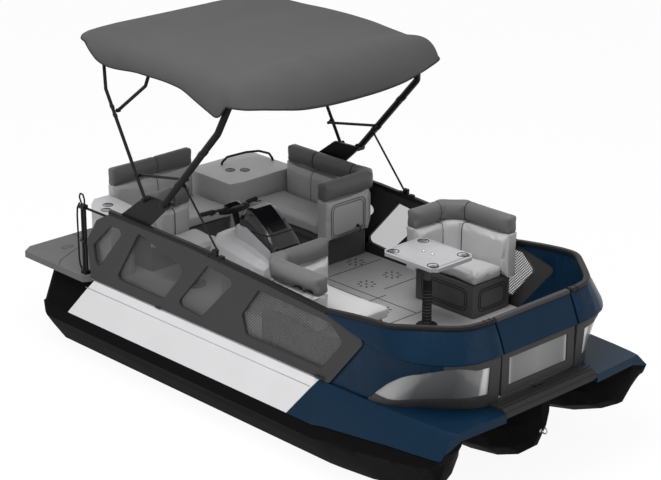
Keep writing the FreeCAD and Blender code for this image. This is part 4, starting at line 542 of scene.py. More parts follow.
def plate_mesh(corner, other, cut):
    """A plate between two opposite corners. In plan its own corners are cut off by cut metres."""
    (x0, y0, z0), (x1, y1, z1) = np.minimum(corner, other), np.maximum(corner, other)
    plan = np.array([(x0 + cut, y0), (x1 - cut, y0), (x1, y0 + cut), (x1, y1 - cut),
                     (x1 - cut, y1), (x0 + cut, y1), (x0, y1 - cut), (x0, y0 + cut)])
    points = np.concatenate([np.column_stack([plan, np.full(len(plan), z)]) for z in (z0, z1)])
    return points, ring_faces(2, len(plan))


def joined(shapes):
    """Several (points, faces) as one."""
    points, faces, count = [], [], 0
    for some_points, some_faces in shapes:
        points.append(np.asarray(some_points, float).reshape(-1, 3))
        faces += [[index + count for index in face] for face in some_faces]
        count += len(points[-1])
    return np.concatenate(points), faces


print("rings of 12 make", len(ring_faces(2, 12)), "faces between two of them, with caps")

# %% Pieces from shapes


def new_piece(name, points, faces, material, body, smooth=True):
    """A mesh piece from an (n, 3) array and its faces, riding on a body."""
    mesh = bpy.data.meshes.new(name)
    mesh.from_pydata(np.asarray(points, float).reshape(-1, 3).tolist(), [], [list(face) for face in faces])
    mesh.polygons.foreach_set("use_smooth", np.full(len(mesh.polygons), smooth))
    mesh.materials.append(material)
    mesh.update()
    piece = bpy.data.objects.new(name, mesh)
    scene.collection.objects.link(piece)
    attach(piece, body)
    return piece


def tubes(name, paths, radius, material, body, **how):
    """One piece from several tubes."""
    return new_piece(name, *joined([tube_mesh(path, radius, **how) for path in paths]), material, body)


def fitted(piece):
    """Turn the piece's faces outwards."""
    shape = bmesh.new()
    shape.from_mesh(piece.data)
    bmesh.ops.recalc_face_normals(shape, faces=shape.faces[:])
    shape.to_mesh(piece.data)
    shape.free()
    return piece


def fitting(name, shapes, material, body="boat", smooth=True):
    """Several closed shapes as one fitted piece."""
    return fitted(new_piece(name, *joined(shapes), material, body, smooth))


def edge_of(node, axis):
    """Where a CAD node's box ends along an axis on its high side, to a tenth of a millimetre."""
    return round(float(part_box(node)[1][axis]), 4)


def both_sides(points):
    """The same places on port and on starboard."""
    points = np.asarray(points, float)
    return np.concatenate([points, points * np.array([1.0, -1.0, 1.0])])


def cut_line(piece, axis, at, side=0, count=48):
    """The closed line where a plane cuts a piece, on one side of the boat (side 1 port, -1
    starboard), ordered by angle about its middle and spread out evenly along its length."""
    shape = bmesh.new()
    shape.from_mesh(piece.data)
    middle, normal = [0.0, 0.0, 0.0], [0.0, 0.0, 0.0]
    middle[axis], normal[axis] = at, 1.0
    cut = bmesh.ops.bisect_plane(shape, geom=shape.verts[:] + shape.edges[:] + shape.faces[:],
                                 plane_co=middle, plane_no=normal)
    line = np.array([list(item.co) for item in cut["geom_cut"] if isinstance(item, bmesh.types.BMVert)])
    shape.free()
    if side:
        line = line[line[:, Y] * side > 0]
    flat = np.delete(line, axis, axis=1)
    flat = flat - (flat.min(axis=0) + flat.max(axis=0)) / 2
    line = line[np.argsort(np.arctan2(flat[:, 1], flat[:, 0]))]
    whole = np.vstack([line, line[:1]])
    way = np.concatenate([[0], np.cumsum(np.linalg.norm(np.diff(whole, axis=0), axis=1))])
    even = np.linspace(0, way[-1], count, endpoint=False)
    return np.stack([np.interp(even, way, whole[:, k]) for k in (X, Y, Z)], axis=-1)


print("leg's cut:", cut_line(nodes["tower_legs"], Z, 2.33, 1).shape)

# %% [markdown]
# ## The canopy
# The real canopy is one woven cloth stretched over three hoops. It is nearly flat on top, rolls over
# at the sides, hangs lowest where the thick front leg comes up, and ends in a visor at the front.
# A flat panel would look like a board, so it is made as one curved sheet: a width, a crown height
# and a hem height for each station along the boat, and one arch shape across it.
# Between the hoops the cloth sinks a little, which breaks up the light on top.

# %% Measures of the canopy
HOOPS = (-1.507, -0.808, 0.184)
HOOP_SHARE, HOOP_X = 0.86, 0.205
CROWN_U = np.array([0.0, 0.03, 0.07, 0.13, 0.26, 0.45, 0.65, 0.80, 0.86, 0.90, 0.93, 0.96, 1.0])
CROWN = np.array([2.950, 2.992, 3.024, 3.044, 3.056, 3.059, 3.054, 3.041, 3.033, 2.998, 2.936, 2.850, 2.700])
HEM_U = np.array([0.0, 0.03, 0.07, 0.38, 0.56, 0.61, 0.70, 0.78, 0.80, 0.825, 0.86, 0.90, 1.0])
HEM = np.array([2.955, 2.912, 2.869, 2.852, 2.846, 2.834, 2.765, 2.702, 2.688, 2.706, 2.792, 2.800, 2.802])
WIDE_U = np.array([0.0, 0.10, 0.25, 0.5, 0.80, 0.92, 1.0])
WIDE = np.array([1.112, 1.158, 1.172, 1.174, 1.176, 1.174, 1.168])
ARCH_V = np.linspace(0, 1, 9)
ARCH_Y = np.array([0.0, 0.25, 0.50, 0.70, 0.84, 0.92, 0.968, 0.993, 1.0])
ARCH_Z = np.array([1.0, 0.990, 0.965, 0.922, 0.840, 0.710, 0.480, 0.220, 0.0])
VISOR_Z = np.array([1.0, 0.960, 0.780, 0.420, 0.160, 0.060, 0.020, 0.005, 0.0])
END_Y = np.array([0.0, 0.3, 0.6, 0.8, 0.9, 0.96, 1.0])
AFT_X = np.array([-1.985, -1.99, -1.995, -1.96, -1.885, -1.800, -1.700])
FORE_X = np.array([0.482, 0.478, 0.462, 0.434, 0.404, 0.364, 0.290])
CLOTH_ENDS = (-2.1, 0.6)
CLOTH_ROWS, CLOTH_COLUMNS = 150, 121
CLOTH_INSET, CLOTH_THICK, CLOTH_SINK, HEM_RADIUS = 0.003, 0.004, 0.009, 0.0075
print("canopy is widest at", 2 * WIDE.max(), "m")

# %% Canopy cloth


def canopy_points(rows, columns, inset):
    """Each line v runs along the boat from the aft edge to the front hoop and on to the visor's edge.
    At each share u of that way the arch spans the width, from the hem's height up to the crown's.
    Past the hoop, for t from 0 to 1, the arch turns into the flatter bow of the visor by t^3, and
    the cloth reaches forward by 1 - (1 - t)^1.7, so it rolls over before it drops.
    The cloth sinks by CLOTH_SINK * sin^2 of the way between two hoops, most in the middle."""
    u = np.linspace(0, 1, rows)
    v = np.linspace(-1, 1, columns)
    wide = through(WIDE_U, WIDE, u) - inset
    low = through(HEM_U, HEM, u)
    high = through(CROWN_U, CROWN, u) - inset
    y = np.sign(v) * through(ARCH_V, ARCH_Y, np.abs(v))
    t = np.clip((u - HOOP_SHARE) / (1 - HOOP_SHARE), 0, 1)[:, None]
    turned, reached = t**3, 1 - (1 - t) ** 1.7
    z = (1 - turned) * through(ARCH_V, ARCH_Z, np.abs(v)) + turned * through(ARCH_V, VISOR_Z, np.abs(v))
    aft, fore = through(END_Y, AFT_X, np.abs(y)), through(END_Y, FORE_X, np.abs(y))
    x = aft + (HOOP_X - aft) * np.minimum(u / HOOP_SHARE, 1)[:, None] + (fore - HOOP_X) * reached
    marks = np.array([CLOTH_ENDS[0], *HOOPS, CLOTH_ENDS[1]])
    k = np.clip(np.searchsorted(marks, x) - 1, 0, len(marks) - 2)
    sink = CLOTH_SINK * np.sin(np.pi * (x - marks[k]) / (marks[k + 1] - marks[k])) ** 2
    height = low[:, None] + (high - low)[:, None] * z - sink * z**2
    return np.stack([x, wide[:, None] * y[None], height], axis=-1)


cloth = canopy_points(CLOTH_ROWS, CLOTH_COLUMNS, CLOTH_INSET)
cloth_faces = grid_faces(CLOTH_ROWS, CLOTH_COLUMNS)
canopy_cloth = new_piece("canopy_cloth", cloth, cloth_faces, canopy_weave, "main_bow")
thick = canopy_cloth.modifiers.new("thickness", "SOLIDIFY")
thick.thickness = CLOTH_THICK
thick.offset = -1
canopy_hem = tubes("canopy_hem", [border(cloth)], HEM_RADIUS, canopy_dark, "main_bow", sides=8, closed=True,
                   up=(0.05, 0.02, 1.0))
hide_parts("canopy")
for piece in (canopy_cloth, canopy_hem):
    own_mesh(piece)

# %% [markdown]
# ## The cushions
# A boat seat is foam in a sewn vinyl cover. Foam pushes the cover out, and the seams hold it in,
# so no side is flat. Blender's Cloth with air pressure inside does the same thing: each pad starts
# from its CAD solid, gets an even skin by a voxel remesh, shrinks a little and is blown up again.
# The move of each point is capped, and the whole pad is then stretched to fill its CAD solid's box,
# with a low crown on top.

# %% Reading and writing a mesh


def rows_of(items, word):
    """One vector of each item of a mesh, as (n, 3)."""
    flat = np.empty(len(items) * 3)
    items.foreach_get(word, flat)
    return flat.reshape(-1, 3)


def points_of(mesh):
    """A mesh's corners as (n, 3)."""
    return rows_of(mesh.vertices, "co")


def normals_of(mesh):
    """A mesh's corner normals as (n, 3)."""
    return rows_of(mesh.vertex_normals, "vector")


def put_points(mesh, points):
    """Write corners back."""
    mesh.vertices.foreach_set("co", np.ascontiguousarray(points, dtype=float).reshape(-1))
    mesh.update()


def baked(piece):
    """The piece's mesh with its modifiers applied, and the modifiers gone."""
    mesh = bpy.data.meshes.new_from_object(piece.evaluated_get(bpy.context.evaluated_depsgraph_get()))
    piece.modifiers.clear()
    old, piece.data = piece.data, mesh
    bpy.data.meshes.remove(old)
    return mesh


print("helm seat's corners:", len(points_of(nodes["helm_seat_cushion"].data)))

# %% Even skins for the pads
VOXEL, SHRINK, GRID = 0.014, 0.010, 0.00005
SEAT_CROWN, BACK_CROWN, OVERLAP, TOP = 0.010, 0.004, 0.012, 9.0
PILLOW_FOOT = {
    "port_lounge": 1.49015,
    "port_bow_lounge": 1.49015,
    "starboard_bow_seat": 1.40415,
    "aft_bench": 1.49015,
    "helm_seat": 1.45575,
}
PADS = {}
for seat, foot in PILLOW_FOOT.items():
    PADS[seat + "_seat_pad"] = (seat + "_cushion", 0, TOP, SEAT_CROWN, seat_light)
    PADS[seat + "_back_pad"] = (seat + "_back", 0, foot, BACK_CROWN, seat_light)
    PADS[seat + "_pillow"] = (seat + "_back", foot, TOP, BACK_CROWN, seat_dark)
members = frame["record"]["behaviour"]["bodies"].items()
body_of_node = {node: body for body, names in members for node in names}


def solid_part(name, low, high):
    """Points and triangles of a CAD node between two heights, with shared corners merged:
    corners are rounded to GRID metres, equal ones become one, and flat triangles drop out."""
    mesh = nodes[name].data
    mesh.calc_loop_triangles()
    points = points_of(mesh)
    triangles = np.empty(len(mesh.loop_triangles) * 3, int)
    mesh.loop_triangles.foreach_get("vertices", triangles)
    triangles = triangles.reshape(-1, 3)
    height = points[triangles, Z]
    triangles = triangles[(height.min(axis=1) > low) & (height.max(axis=1) < high)]
    merged, back = np.unique(np.round(points[triangles.reshape(-1)] / GRID), axis=0, return_inverse=True)
    triangles = back.reshape(-1, 3)
    whole = (triangles != np.roll(triangles, 1, axis=1)).all(axis=1)
    return merged * GRID, triangles[whole]


def raw_pad(name, node, low, high, material):
    """An even-skinned pad a little smaller than its CAD solid: point - normal * SHRINK."""
    piece = new_piece(name, *solid_part(node, low, high), material, body_of_node[node])
    skin = piece.modifiers.new("skin", "REMESH")
    skin.mode = "VOXEL"
    skin.voxel_size = VOXEL
    mesh = baked(piece)
    put_points(mesh, points_of(mesh) - normals_of(mesh) * SHRINK)
    mesh.polygons.foreach_set("use_smooth", np.ones(len(mesh.polygons), bool))
    return piece


pads = {name: raw_pad(name, node, low, high, material)
        for name, (node, low, high, crown, material) in PADS.items()}
starts = {name: points_of(pad.data) for name, pad in pads.items()}
print("pads:", len(pads), "corners:", sum(len(points) for points in starts.values()))

# %% Blow up the pads
COVER = {
    "quality": 5, "mass": 0.3, "tension_stiffness": 12, "compression_stiffness": 12, "shear_stiffness": 6,
    "bending_stiffness": 0.6, "use_pressure": True, "uniform_pressure_force": 4.0,
}
LAST_FRAME, MOST_MOVE, NEAR_ZERO = 20, 0.024, 1e-9

for pad in pads.values():
    cover = pad.modifiers.new("cover", "CLOTH")
    for word, value in COVER.items():
        setattr(cover.settings, word, value)
    cover.settings.effector_weights.gravity = 0
    cover.point_cache.frame_start, cover.point_cache.frame_end = 1, LAST_FRAME
for step in range(1, LAST_FRAME + 1):
    scene.frame_set(step)
for name, pad in pads.items():
    mesh = baked(pad)
    moved = points_of(mesh) - starts[name]
    far = np.linalg.norm(moved, axis=1)[:, None]
    put_points(mesh, starts[name] + moved * np.minimum(1, MOST_MOVE / np.maximum(far, NEAR_ZERO)))
scene.frame_set(1)


def fill_out(mesh, node, low, high, crown):
    """Stretch a pad to its part of the CAD node's box: (point - own corner) / own size * the box's
    size. The box reaches from low to high, and crown metres more on top."""
    box_low, box_high = (np.array(corner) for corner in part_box(node))
    box_low[Z], box_high[Z] = max(box_low[Z], low), min(box_high[Z], high) + crown
    points = points_of(mesh)
    put_points(mesh, box_low + (points - points.min(axis=0)) / np.ptp(points, axis=0) * (box_high - box_low))


for name, (node, low, high, crown, material) in PADS.items():
    fill_out(pads[name].data, node, low - OVERLAP, high, crown)
print("blown up:", "yes")

# %% [markdown]
# ## Seams and piping
# A long cushion is sewn from panels, and each seam shows as a groove with dark piping in it.
# The groove is a smooth dent across the pad, and the piping is a tube on the line where the
# seam's plane cuts the dented pad, so it lies in the groove however the pad is curved.

# %% Seams across the pads
SEAM_DEPTH, SEAM_REACH, PIPING_RADIUS = 0.010, 0.010, 0.0045
SEAMS = {
    "port_lounge": [(X, -1.040), (X, -0.545)],
    "aft_bench": [(Y, -0.190)],
    "port_bow_lounge": [(X, 0.860), (Y, 0.800)],
    "helm_seat": [(Y, -0.588)],
}


def pinch(pad, axis, at):
    """A sewn seam across a pad: points sink along their normals by SEAM_DEPTH * exp(-(d / SEAM_REACH)^2),
    where d is the distance to the seam's plane."""
    points = points_of(pad.data)
    sink = SEAM_DEPTH * np.exp(-((points[:, axis] - at) / SEAM_REACH) ** 2)
    put_points(pad.data, points - normals_of(pad.data) * sink[:, None])


def welt(pad, axis, at):
    """Dark piping along a seam: a tube on the line where the seam's plane cuts the pad."""
    up = np.zeros(3)
    up[axis] = 1.0
    piping = tubes(f"{pad.name}_piping", [cut_line(pad, axis, at, count=64)], PIPING_RADIUS, seam_black,
                   body_of(pad)[0], sides=8, closed=True, up=up)


for seat, lines in SEAMS.items():
    for axis, at in lines:
        for kind in ("_back_pad", "_pillow"):
            pinch(pads[seat + kind], axis, at)
            welt(pads[seat + kind], axis, at)
for name, (node, low, high, crown, material) in PADS.items():
    pad = pads[name]
    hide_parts(node)
    finer = pad.modifiers.new("finer", "SUBSURF")
    finer.levels = finer.render_levels = 1
print("seats with seams:", len(SEAMS))

# %% [markdown]
# ## Fittings of the canopy frame
# Real tower tubes are held by turned pins with domed caps, and by collars where one tube slides in
# another. A collar has to follow its tube, whatever the tube's lean, so it is made from the tube
# itself: the tube is cut by a few close planes, and each cut is grown a little about its middle.

# %% Pins and collars
PIVOTS = [(-0.6287, 1.180, 1.7606), (-0.8808, 1.180, 1.7334)]
PIN = np.array([(0.0200, 0.0), (0.0200, 0.0030), (0.0165, 0.0062), (0.0100, 0.0080), (0.0010, 0.0084)])
PIN_SCALE, FLUSH = 1.15, 0.0004


def band_mesh(node, axis, at, side, width, grow):
    """A collar: four cuts of a node, at the ends and just inside them, the inner two bigger by grow
    metres. Each point moves away from its cut's middle along the line to it."""
    rings = []
    for share, out in ((-0.5, FLUSH), (-0.36, grow), (0.36, grow), (0.5, FLUSH)):
        ring = cut_line(nodes[node], axis, at + width * share, side)
        away = ring - (ring.min(axis=0) + ring.max(axis=0)) / 2
        rings.append(ring + away / np.linalg.norm(away, axis=1)[:, None] * out)
    return np.concatenate(rings), ring_faces(len(rings), len(rings[0]))


def bands(name, rows, width, grow, body, material=frame_black):
    """Collars as one piece, from rows of (node, axis, place, side)."""
    return fitting(name, [band_mesh(*row, width, grow) for row in rows], material, body=body)


caps = [turned_mesh(PIN * PIN_SCALE, (x, side * y, z), (0, side, 0), 24) for x, y, z in PIVOTS
        for side, word in SIDES]
fitting("tower_pivot_caps", caps, frame_black)
COLLARS = {
    "leg_collars": ([("tower_legs", Z, z, side) for z in (1.99, 2.33) for side in (1, -1)],
                    0.045, 0.005, "main_bow"),
    "stay_collars": ([("tower_stays", Z, z, side) for z in (1.93, 2.40, 2.47) for side in (1, -1)],
                     0.030, 0.004, "rear_bow"),
    "rail_clamps": ([(rail, X, x, 0) for rail in ("rail_starboard", "rail_port") for x in (-0.075, 0.058)],
                    0.026, 0.004, "boat"),
    "rail_collars": ([("rail_" + word, Y, side * y, 0) for side, word in SIDES[::-1] for y in (0.475, 0.535)],
                     0.018, 0.0035, "boat"),
}
for name, (rows, width, grow, body) in COLLARS.items():
    bands(name, rows, width, grow, body)
print("collars:", sum(len(rows) for rows, width, grow, body in COLLARS.values()))

# %% [markdown]
# ## Fittings of the bow
# The small hardware at the bow is what a hand or a rope meets: a ring eye low on the middle hull,
# a horn cleat on the step, a cleat at each fence foot, and domed bolt heads in the mouldings.
# A horn cleat is one bar that thins and lifts towards its ends, on two feet. The bar is a tube
# whose radius and height both follow the cosine of the way along it.

# %% Eye and cleats
DECK = edge_of("deck_floor", Z)
FENCE_Y = edge_of("fence_panel_port", Y)
EYE, EYE_RADIUS = (2.636, 0.0, 0.430), 0.026
EYE_PLATE = [(0.030, -0.004), (0.030, 0.003), (0.026, 0.006), (0.001, 0.006)]
CLEAT_FOOT = np.array([(1.5, 0.0), (1.5, 0.3), (0.95, 0.8), (0.8, 1.7)])


def cleat_mesh(place, along, up, length, thick):
    """A horn cleat at place: the bar's radius is thick * (0.55 + 0.45 cos t) and its lift
    thick * (2.1 - 0.5 cos t), for t from -pi/2 to pi/2. Two tapered feet carry it."""
    place, along, up = (np.asarray(value, float) for value in (place, along, up))
    t = np.linspace(-math.pi / 2, math.pi / 2, 17)
    bar = place + along * (length / 2 * np.sin(t))[:, None] + up * (thick * (2.1 - 0.5 * np.cos(t)))[:, None]
    feet = [turned_mesh(CLEAT_FOOT * thick, place + along * length * share, up, 16) for share in (-0.2, 0.2)]
    return joined([tube_mesh(bar, thick * (0.55 + 0.45 * np.cos(t)), 12, up=up), *feet])


ring = tube_mesh(circle_line(EYE, EYE_RADIUS, Y, 28), 0.0060, 10, closed=True, up=(0, 1, 0))
fitting("bow_eye", [ring, turned_mesh(EYE_PLATE, (2.612, 0, EYE[Z]), (0.92, 0, -0.40), 24)], bare_metal)
fitting("step_cleat", [cleat_mesh((2.560, 0, DECK), (0, 1, 0), (0, 0, 1), 0.150, 0.0095)], seam_black)
for side, word in SIDES:
    outwards = (0, side, 0)
    fitting("fence_cleat_" + word,
            [cleat_mesh((1.270, side * FENCE_Y, DECK), (1, 0, 0), outwards, 0.120, 0.0085)], seam_black)
    fitting("sill_tab_" + word,
            [cleat_mesh((-0.750, side * FENCE_Y, DECK - 0.010), (1, 0, 0), outwards, 0.070, 0.0050)],
            seam_black)
print("bow eye", EYE[Z], "m above the floor")

# %% Bolt heads and side lines
DOME = np.array([(0.0010, -0.002), (0.0070, -0.002), (0.0070, 0.0), (0.0062, 0.0016), (0.0040, 0.0028),
                 (0.0010, 0.0032)])
LOBE_BOLTS = np.array([[1.813, 1.133, 1.193], [1.560, 1.141, 1.193]])
DECK_BOLTS = [[2.224, -0.975, 0.775], [1.905, -1.165, 0.775], [2.560, -0.62, 0.775]]
STEP_STUDS = [[2.655, y, DECK] for y in np.linspace(0.10, 0.50, 9)]
SILL_LINE = [[-1.700, 1.147, 0.783], [1.240, 1.147, 0.783]]
CREASE_LINE = [[-1.742, 1.1770, 0.700], [1.185, 1.1770, 0.700]]


def bolts(name, places, axis, scale):
    """Domed bolt heads at places, all along one axis."""
    return fitting(name, [turned_mesh(DOME * scale, place, axis, 12) for place in places], seam_black)


for side, word in SIDES:
    bolts("panel_bolts_" + word, LOBE_BOLTS * (1, side, 1), (0, side, 0), 1.2)
bolts("deck_bolts", both_sides(DECK_BOLTS), (0, 0, 1), 1.2)
bolts("step_studs", both_sides(STEP_STUDS), (0, 0, 1), 0.9)
for name, line, radius in (("panel_creases", CREASE_LINE, 0.0030), ("sill_lines", SILL_LINE, 0.0032)):
    fitted(tubes(name, both_sides([line]), radius, plate_silver, "boat", sides=8))
print("bolt heads on deck:", 2 * len(DECK_BOLTS), "studs:", 2 * len(STEP_STUDS))

# %% [markdown]
# ## Lines in the deck
# The deck's moulded seams, lift-out hatches and fixing points are grooves, and the shade in them is
# painted as thin dark lines. Each is a low flat ribbon that stands a millimetre proud, so that it
# catches the light on its edges. A hatch is a rounded rectangle, and a fixing point is eight short
# dashes round a slot.

# %% Seams, hatches and fixing points
RIBBON_LIFT, STRIP_POINTS = 0.0012, 12
HATCHES = [rounded_box((0.95, -0.34), (1.90, 0.10), 0.04), rounded_box((-0.14, -0.10), (0.32, 0.26), 0.03)]
DECK_SEAMS = [((0.41, -0.40), (0.41, 0.46)), ((0.88, -0.40), (0.88, 0.52)), ((-0.24, 0.36), (0.88, 0.36)),
              ((-0.24, 0.36), (-0.24, 1.05)), ((0.30, 0.55), (0.30, 1.05)), ((2.02, -0.60), (2.02, 0.60))]
FIXINGS = np.array([(0.108, 0.84), (-0.340, 0.825), (0.108, 0.52), (0.62, 0.20), (0.62, -0.10)])
DASH_NEAR, DASH_FAR, SLOT_HALF = 0.055, 0.085, 0.014
PLATFORM_LIDS = [rounded_box((-2.475, -0.900), (-2.425, -0.785), 0.020),
                 rounded_box((-2.60, 0.62), (-1.95, 1.02), 0.04)]
PLATFORM_SEAMS = [((-2.69, -0.60), (-1.73, -0.60)), ((-2.69, 0.56), (-1.73, 0.56))]


def lines_piece(name, loops, strips, width):
    """Closed loops, and open strips that are two ends or more points, as one piece of ribbons."""
    shapes = [ribbon_mesh(loop, width, DECK, RIBBON_LIFT, closed=True) for loop in loops]
    for strip in strips:
        path = np.linspace(*np.array(strip, float), STRIP_POINTS) if len(strip) == 2 else strip
        shapes.append(ribbon_mesh(path, width, DECK, RIBBON_LIFT))
    # The ribbons are dark because they paint the shade inside the deck's grooves and gaps.
    return fitting(name, shapes, seam_black, smooth=False)


lines_piece("deck_hatches", HATCHES, DECK_SEAMS, 0.010)
dashes = []
for place in FIXINGS:
    dashes += [(place + out * DASH_NEAR, place + out * DASH_FAR) for out in ring_of(8)]
    dashes.append((place - (SLOT_HALF, 0), place + (SLOT_HALF, 0)))
lines_piece("deck_fixings", [], dashes, 0.017)
# From the platform's side the curved seam runs aft evenly, and inwards as its way to the power 1.6.
way = np.linspace(0, 1, 16)
curved_seam = np.column_stack([-2.12 - 0.25 * way, -1.175 + 0.415 * way**1.6])
lines_piece("platform_lines", PLATFORM_LIDS, [*PLATFORM_SEAMS, curved_seam], 0.008)
print("fixing points:", len(FIXINGS), "dashes:", len(dashes))

# %% [markdown]
# ## Tables and console
# A cup well is cut in the CAD part, and what is left to add is its moulded rim.
# The table locks to its leg with two bright latches, and slides in a ribbed black sleeve.
# The console's lid closes on a soft dark seal, and the bar has ribbed rubber grips.

# %% Rims, latches and sleeve
TABLE_X, TABLE_Y = [round(float(sum(ends)) / 2, 3) for ends in zip(*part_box("table_top"))][:2]
TABLE_Z, CORNER_Z = edge_of("table_top", Z), edge_of("corner_table_port", Z)
CUP_X, CUP_Y, RIM_LIFT = 0.225, 0.18, 0.0005
CORNER_CUPS = [(x, y, CORNER_Z + RIM_LIFT)
               for x, y in ((-1.755, -0.883), (-1.662, -0.977), (-1.750, 0.555), (-1.656, 0.657))]
LATCH = [(0.016, -0.004), (0.016, 0.006), (0.012, 0.011), (0.006, 0.016), (0.001, 0.017)]
FOOT_RING = [(0.092, 0.800), (0.092, 0.806), (0.084, 0.813), (0.046, 0.820), (0.040, 0.830)]
SLEEVE_FOOT, SLEEVE_HEAD, SLEEVE_RIBS = 0.812, 1.205, 14


def rims(name, places, radius, thick):
    """Round beads of the given thickness on level circles round these places."""
    paths = [circle_line(place, radius, Z, 40) for place in places]
    return fitted(tubes(name, paths, thick, seam_black, "boat", sides=8, closed=True))


def sleeve_profile():
    """Radius 0.0395 + 0.0022 * |sin| of the way up, with one wave for each rib, and a flat lip."""
    height = np.linspace(SLEEVE_FOOT, SLEEVE_HEAD, 60)
    way = (height - SLEEVE_FOOT) / (SLEEVE_HEAD - SLEEVE_FOOT)
    ribs = 0.0395 + 0.0022 * np.abs(np.sin(way * math.pi * SLEEVE_RIBS))
    return np.concatenate([[(0.0340, 0.806)], np.column_stack([ribs, height]), [(0.0320, 1.212)]])


table_cups = [(TABLE_X + a * CUP_X, TABLE_Y + b * CUP_Y, TABLE_Z + RIM_LIFT)
              for a in (1, -1) for b in (1, -1)]
rims("table_rims", table_cups, 0.0455, 0.0038)
rims("corner_rims", CORNER_CUPS, 0.0450, 0.0034)
latches = [turned_mesh(LATCH, (TABLE_X + d, TABLE_Y, TABLE_Z), (0, 0, 1), 20) for d in (-0.05, 0.05)]
fitting("table_latches", latches, bare_metal)
fitting("table_sleeve", [turned_mesh(sleeve_profile(), (TABLE_X, TABLE_Y, 0), (0, 0, 1), 28),
                         turned_mesh(FOOT_RING, (TABLE_X, TABLE_Y, 0), (0, 0, 1), 36)], seam_black)
print("cup rims:", len(table_cups) + len(CORNER_CUPS))

# %% Seal and grips
SEAL_Z = 1.520
GRIP_RINGS = np.concatenate([np.linspace(-0.770, -0.665, 8), np.linspace(-0.255, -0.150, 8)])
bands("lid_seal", [("console_lid", Z, SEAL_Z, 0)], 0.012, 0.003, "lid", seam_black)
bands("bar_grips", [("handlebar", Y, y, 0) for y in GRIP_RINGS], 0.011, 0.004, "handlebar", seam_black)
print("grip rings:", len(GRIP_RINGS))

# %% [markdown]
# ## Seat mouldings
# Each seat base is a moulded box with a recessed rounded panel in its face, framed by a soft bead.
# The seat at the lounge's open end shows such a shell too, with a dark hook for a bag.
# A bead is a thin tube on a rounded rectangle, set half into the face.

# %% Beads and the bag hook
BEAD_RADIUS, BEAD_STEP = 0.0036, 0.022
HOOK_X, HOOK_Y = -0.251, 0.779
HOOK_BUTTON = [(0.017, -0.003), (0.017, 0.003), (0.012, 0.006), (0.001, 0.006)]


def bead(name, axis, at, low, high, corner, material=seam_black):
    """Two rounded frames, one inside the other, on the face that is square to an axis."""
    paths = []
    for inset in (0.0, BEAD_STEP):
        loop = rounded_box(np.array(low) + inset, np.array(high) - inset, corner - inset * 0.5)
        paths.append(np.insert(loop, axis, at, axis=1))
    up = tuple(float(k == axis) for k in (X, Y, Z))
    return fitted(tubes(name, paths, BEAD_RADIUS, material, "boat", sides=8, closed=True, up=up))


bead("bow_base_front_bead", X, 1.312, (0.66, 0.85), (1.00, 1.05), 0.05)
bead("bow_base_side_bead", Y, 0.600, (0.70, 0.85), (1.23, 1.05), 0.05)
bead("lounge_base_bead", Y, 0.501, (-1.30, 0.85), (-0.54, 1.05), 0.05)
bead("lounge_end_bead", X, -0.2705, (0.45, 1.13), (0.87, 1.45), 0.06, base_grey)
# The hook is an arc seen from the side: from just behind its top, round its front and past its foot.
bend = np.linspace(-math.pi * 0.15, math.pi * 1.05, 16)
hook = np.column_stack([HOOK_X + 0.018 * np.sin(bend), np.full(16, HOOK_Y), 1.160 + 0.024 * np.cos(bend)])
fitting("bag_hook", [tube_mesh(hook, 0.0048, 10, up=(0, 1, 0)),
                     turned_mesh(HOOK_BUTTON, (-0.271, HOOK_Y, 1.187), (1, 0, 0), 20)], seam_black)
print("seat mouldings ready")

# %% [markdown]
# ## Small controls and brackets
# The steering bar carries a small dash pod and two levers, and a bracket ties the starboard bow seat
# to the rail. The pod is a squashed dome: its height is (1 - a^4)(1 - b^4) over a flat rectangle.
# The levers ride on the bar, so they turn with it.

# %% Pod and levers
POD_X, POD_Y, POD_SLOPE = -0.533, -0.460, -0.36
POD_LONG, POD_WIDE, POD_RISE = 0.036, 0.085, 0.020
POD_BASE, POD_TOP = 1.600, 1.612


def pod_mesh(rows=17, columns=21):
    """Over a and b from -1 to 1 the top is POD_TOP + POD_RISE * (1 - a^4)(1 - b^4) high and the
    underside is flat, both leaned by POD_SLOPE times x. A wall joins their rims."""
    a, b = np.meshgrid(np.linspace(-1, 1, rows), np.linspace(-1, 1, columns), indexing="ij")
    x, y, lean = POD_X + POD_LONG * a, POD_Y + POD_WIDE * b, POD_SLOPE * POD_LONG * a
    top = np.stack([x, y, POD_TOP + POD_RISE * (1 - a**4) * (1 - b**4) + lean], axis=-1)
    under = np.stack([x, y, POD_BASE + lean], axis=-1)
    rim = border(np.arange(rows * columns).reshape(rows, columns))
    wall = np.stack([rim, np.roll(rim, -1), np.roll(rim, -1) + a.size, rim + a.size], axis=-1)
    faces = grid_faces(rows, columns)
    faces = np.concatenate([faces, (faces + a.size)[:, ::-1], wall])
    return np.concatenate([top, under]).reshape(-1, 3), faces


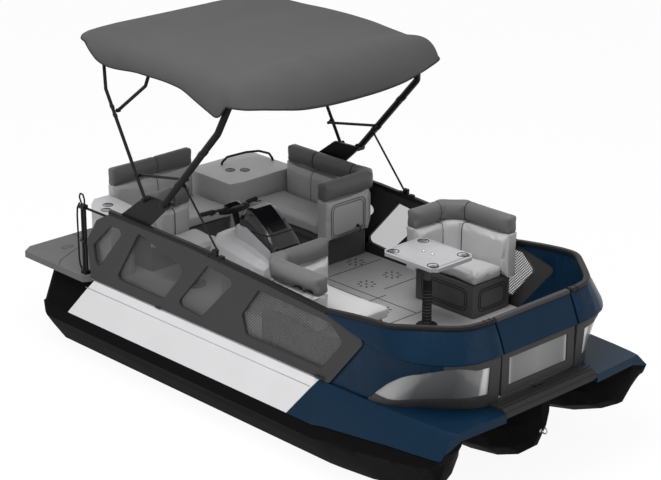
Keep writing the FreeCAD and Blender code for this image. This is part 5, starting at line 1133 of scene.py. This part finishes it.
rounded(fitting("dash_pod", [pod_mesh()], lid_black, "handlebar"), 0.003, sharp=30)
# A lever reaches out to its side evenly, drops a little and bends forward as the sine of its way.
way = np.linspace(0, 1, 12)
levers = [np.column_stack([-0.560 + 0.055 * np.sin(way * 1.9), POD_Y + side * (0.165 + 0.125 * way),
                           1.603 - 0.012 * way]) for side, word in SIDES]
fitted(tubes("hand_levers", levers, 0.0055, seam_black, "handlebar", sides=10))
print("levers:", len(levers))

# %% Brackets, post bars and foot plates
ARM_PLACES = (0.92, 1.05)
POST_X, POST_Y = -1.835, -1.1215
POST_BEND = np.array([(0.020, 1.452), (0.052, 1.400), (0.060, 1.330), (0.055, 0.920), (0.044, 0.860),
                      (0.020, 0.830)])
FOOT_PLATES = np.array([(-0.100, 1.100, 1.468), (0.036, 1.100, 1.468)])
FOOT_SIZE, FOOT_CUT = (0.062, 0.042, 0.014), 0.012
FOOT_BOLTS = [[-0.069, 1.121, 1.482], [0.067, 1.121, 1.482]]

# A seat arm runs inwards from the rail, and its height is half a sine wave on an even fall.
sag = 0.014 * np.sin(math.pi * way) - 0.050 * way
arm = np.column_stack([np.zeros(12), -1.118 + 0.100 * way, 1.462 + sag])
arms = [arm + (x, 0, 0) for x in ARM_PLACES]
fitted(tubes("seat_brackets", arms, 0.0090, frame_black, "boat", sides=10))
bars = [np.column_stack([POST_X + out * POST_BEND[:, 0], np.full(6, POST_Y), POST_BEND[:, 1]])
        for out in (1, -1)]
fitted(tubes("tow_post_bars", bars, 0.0085, frame_black, "boat", sides=10, up=(0, 1, 0)))
plates = [plate_mesh(corner * mirror, (corner + FOOT_SIZE) * mirror, FOOT_CUT)
          for mirror in np.array([(1, 1, 1), (1, -1, 1)]) for corner in FOOT_PLATES]
rounded(fitting("strut_foot_plates", plates, frame_black, smooth=False), 0.003, sharp=30)
bolts("strut_foot_bolts", both_sides(FOOT_BOLTS), (0, 0, 1), 1.1)
print("arms:", len(arms), "bars:", len(bars), "plates:", len(plates))
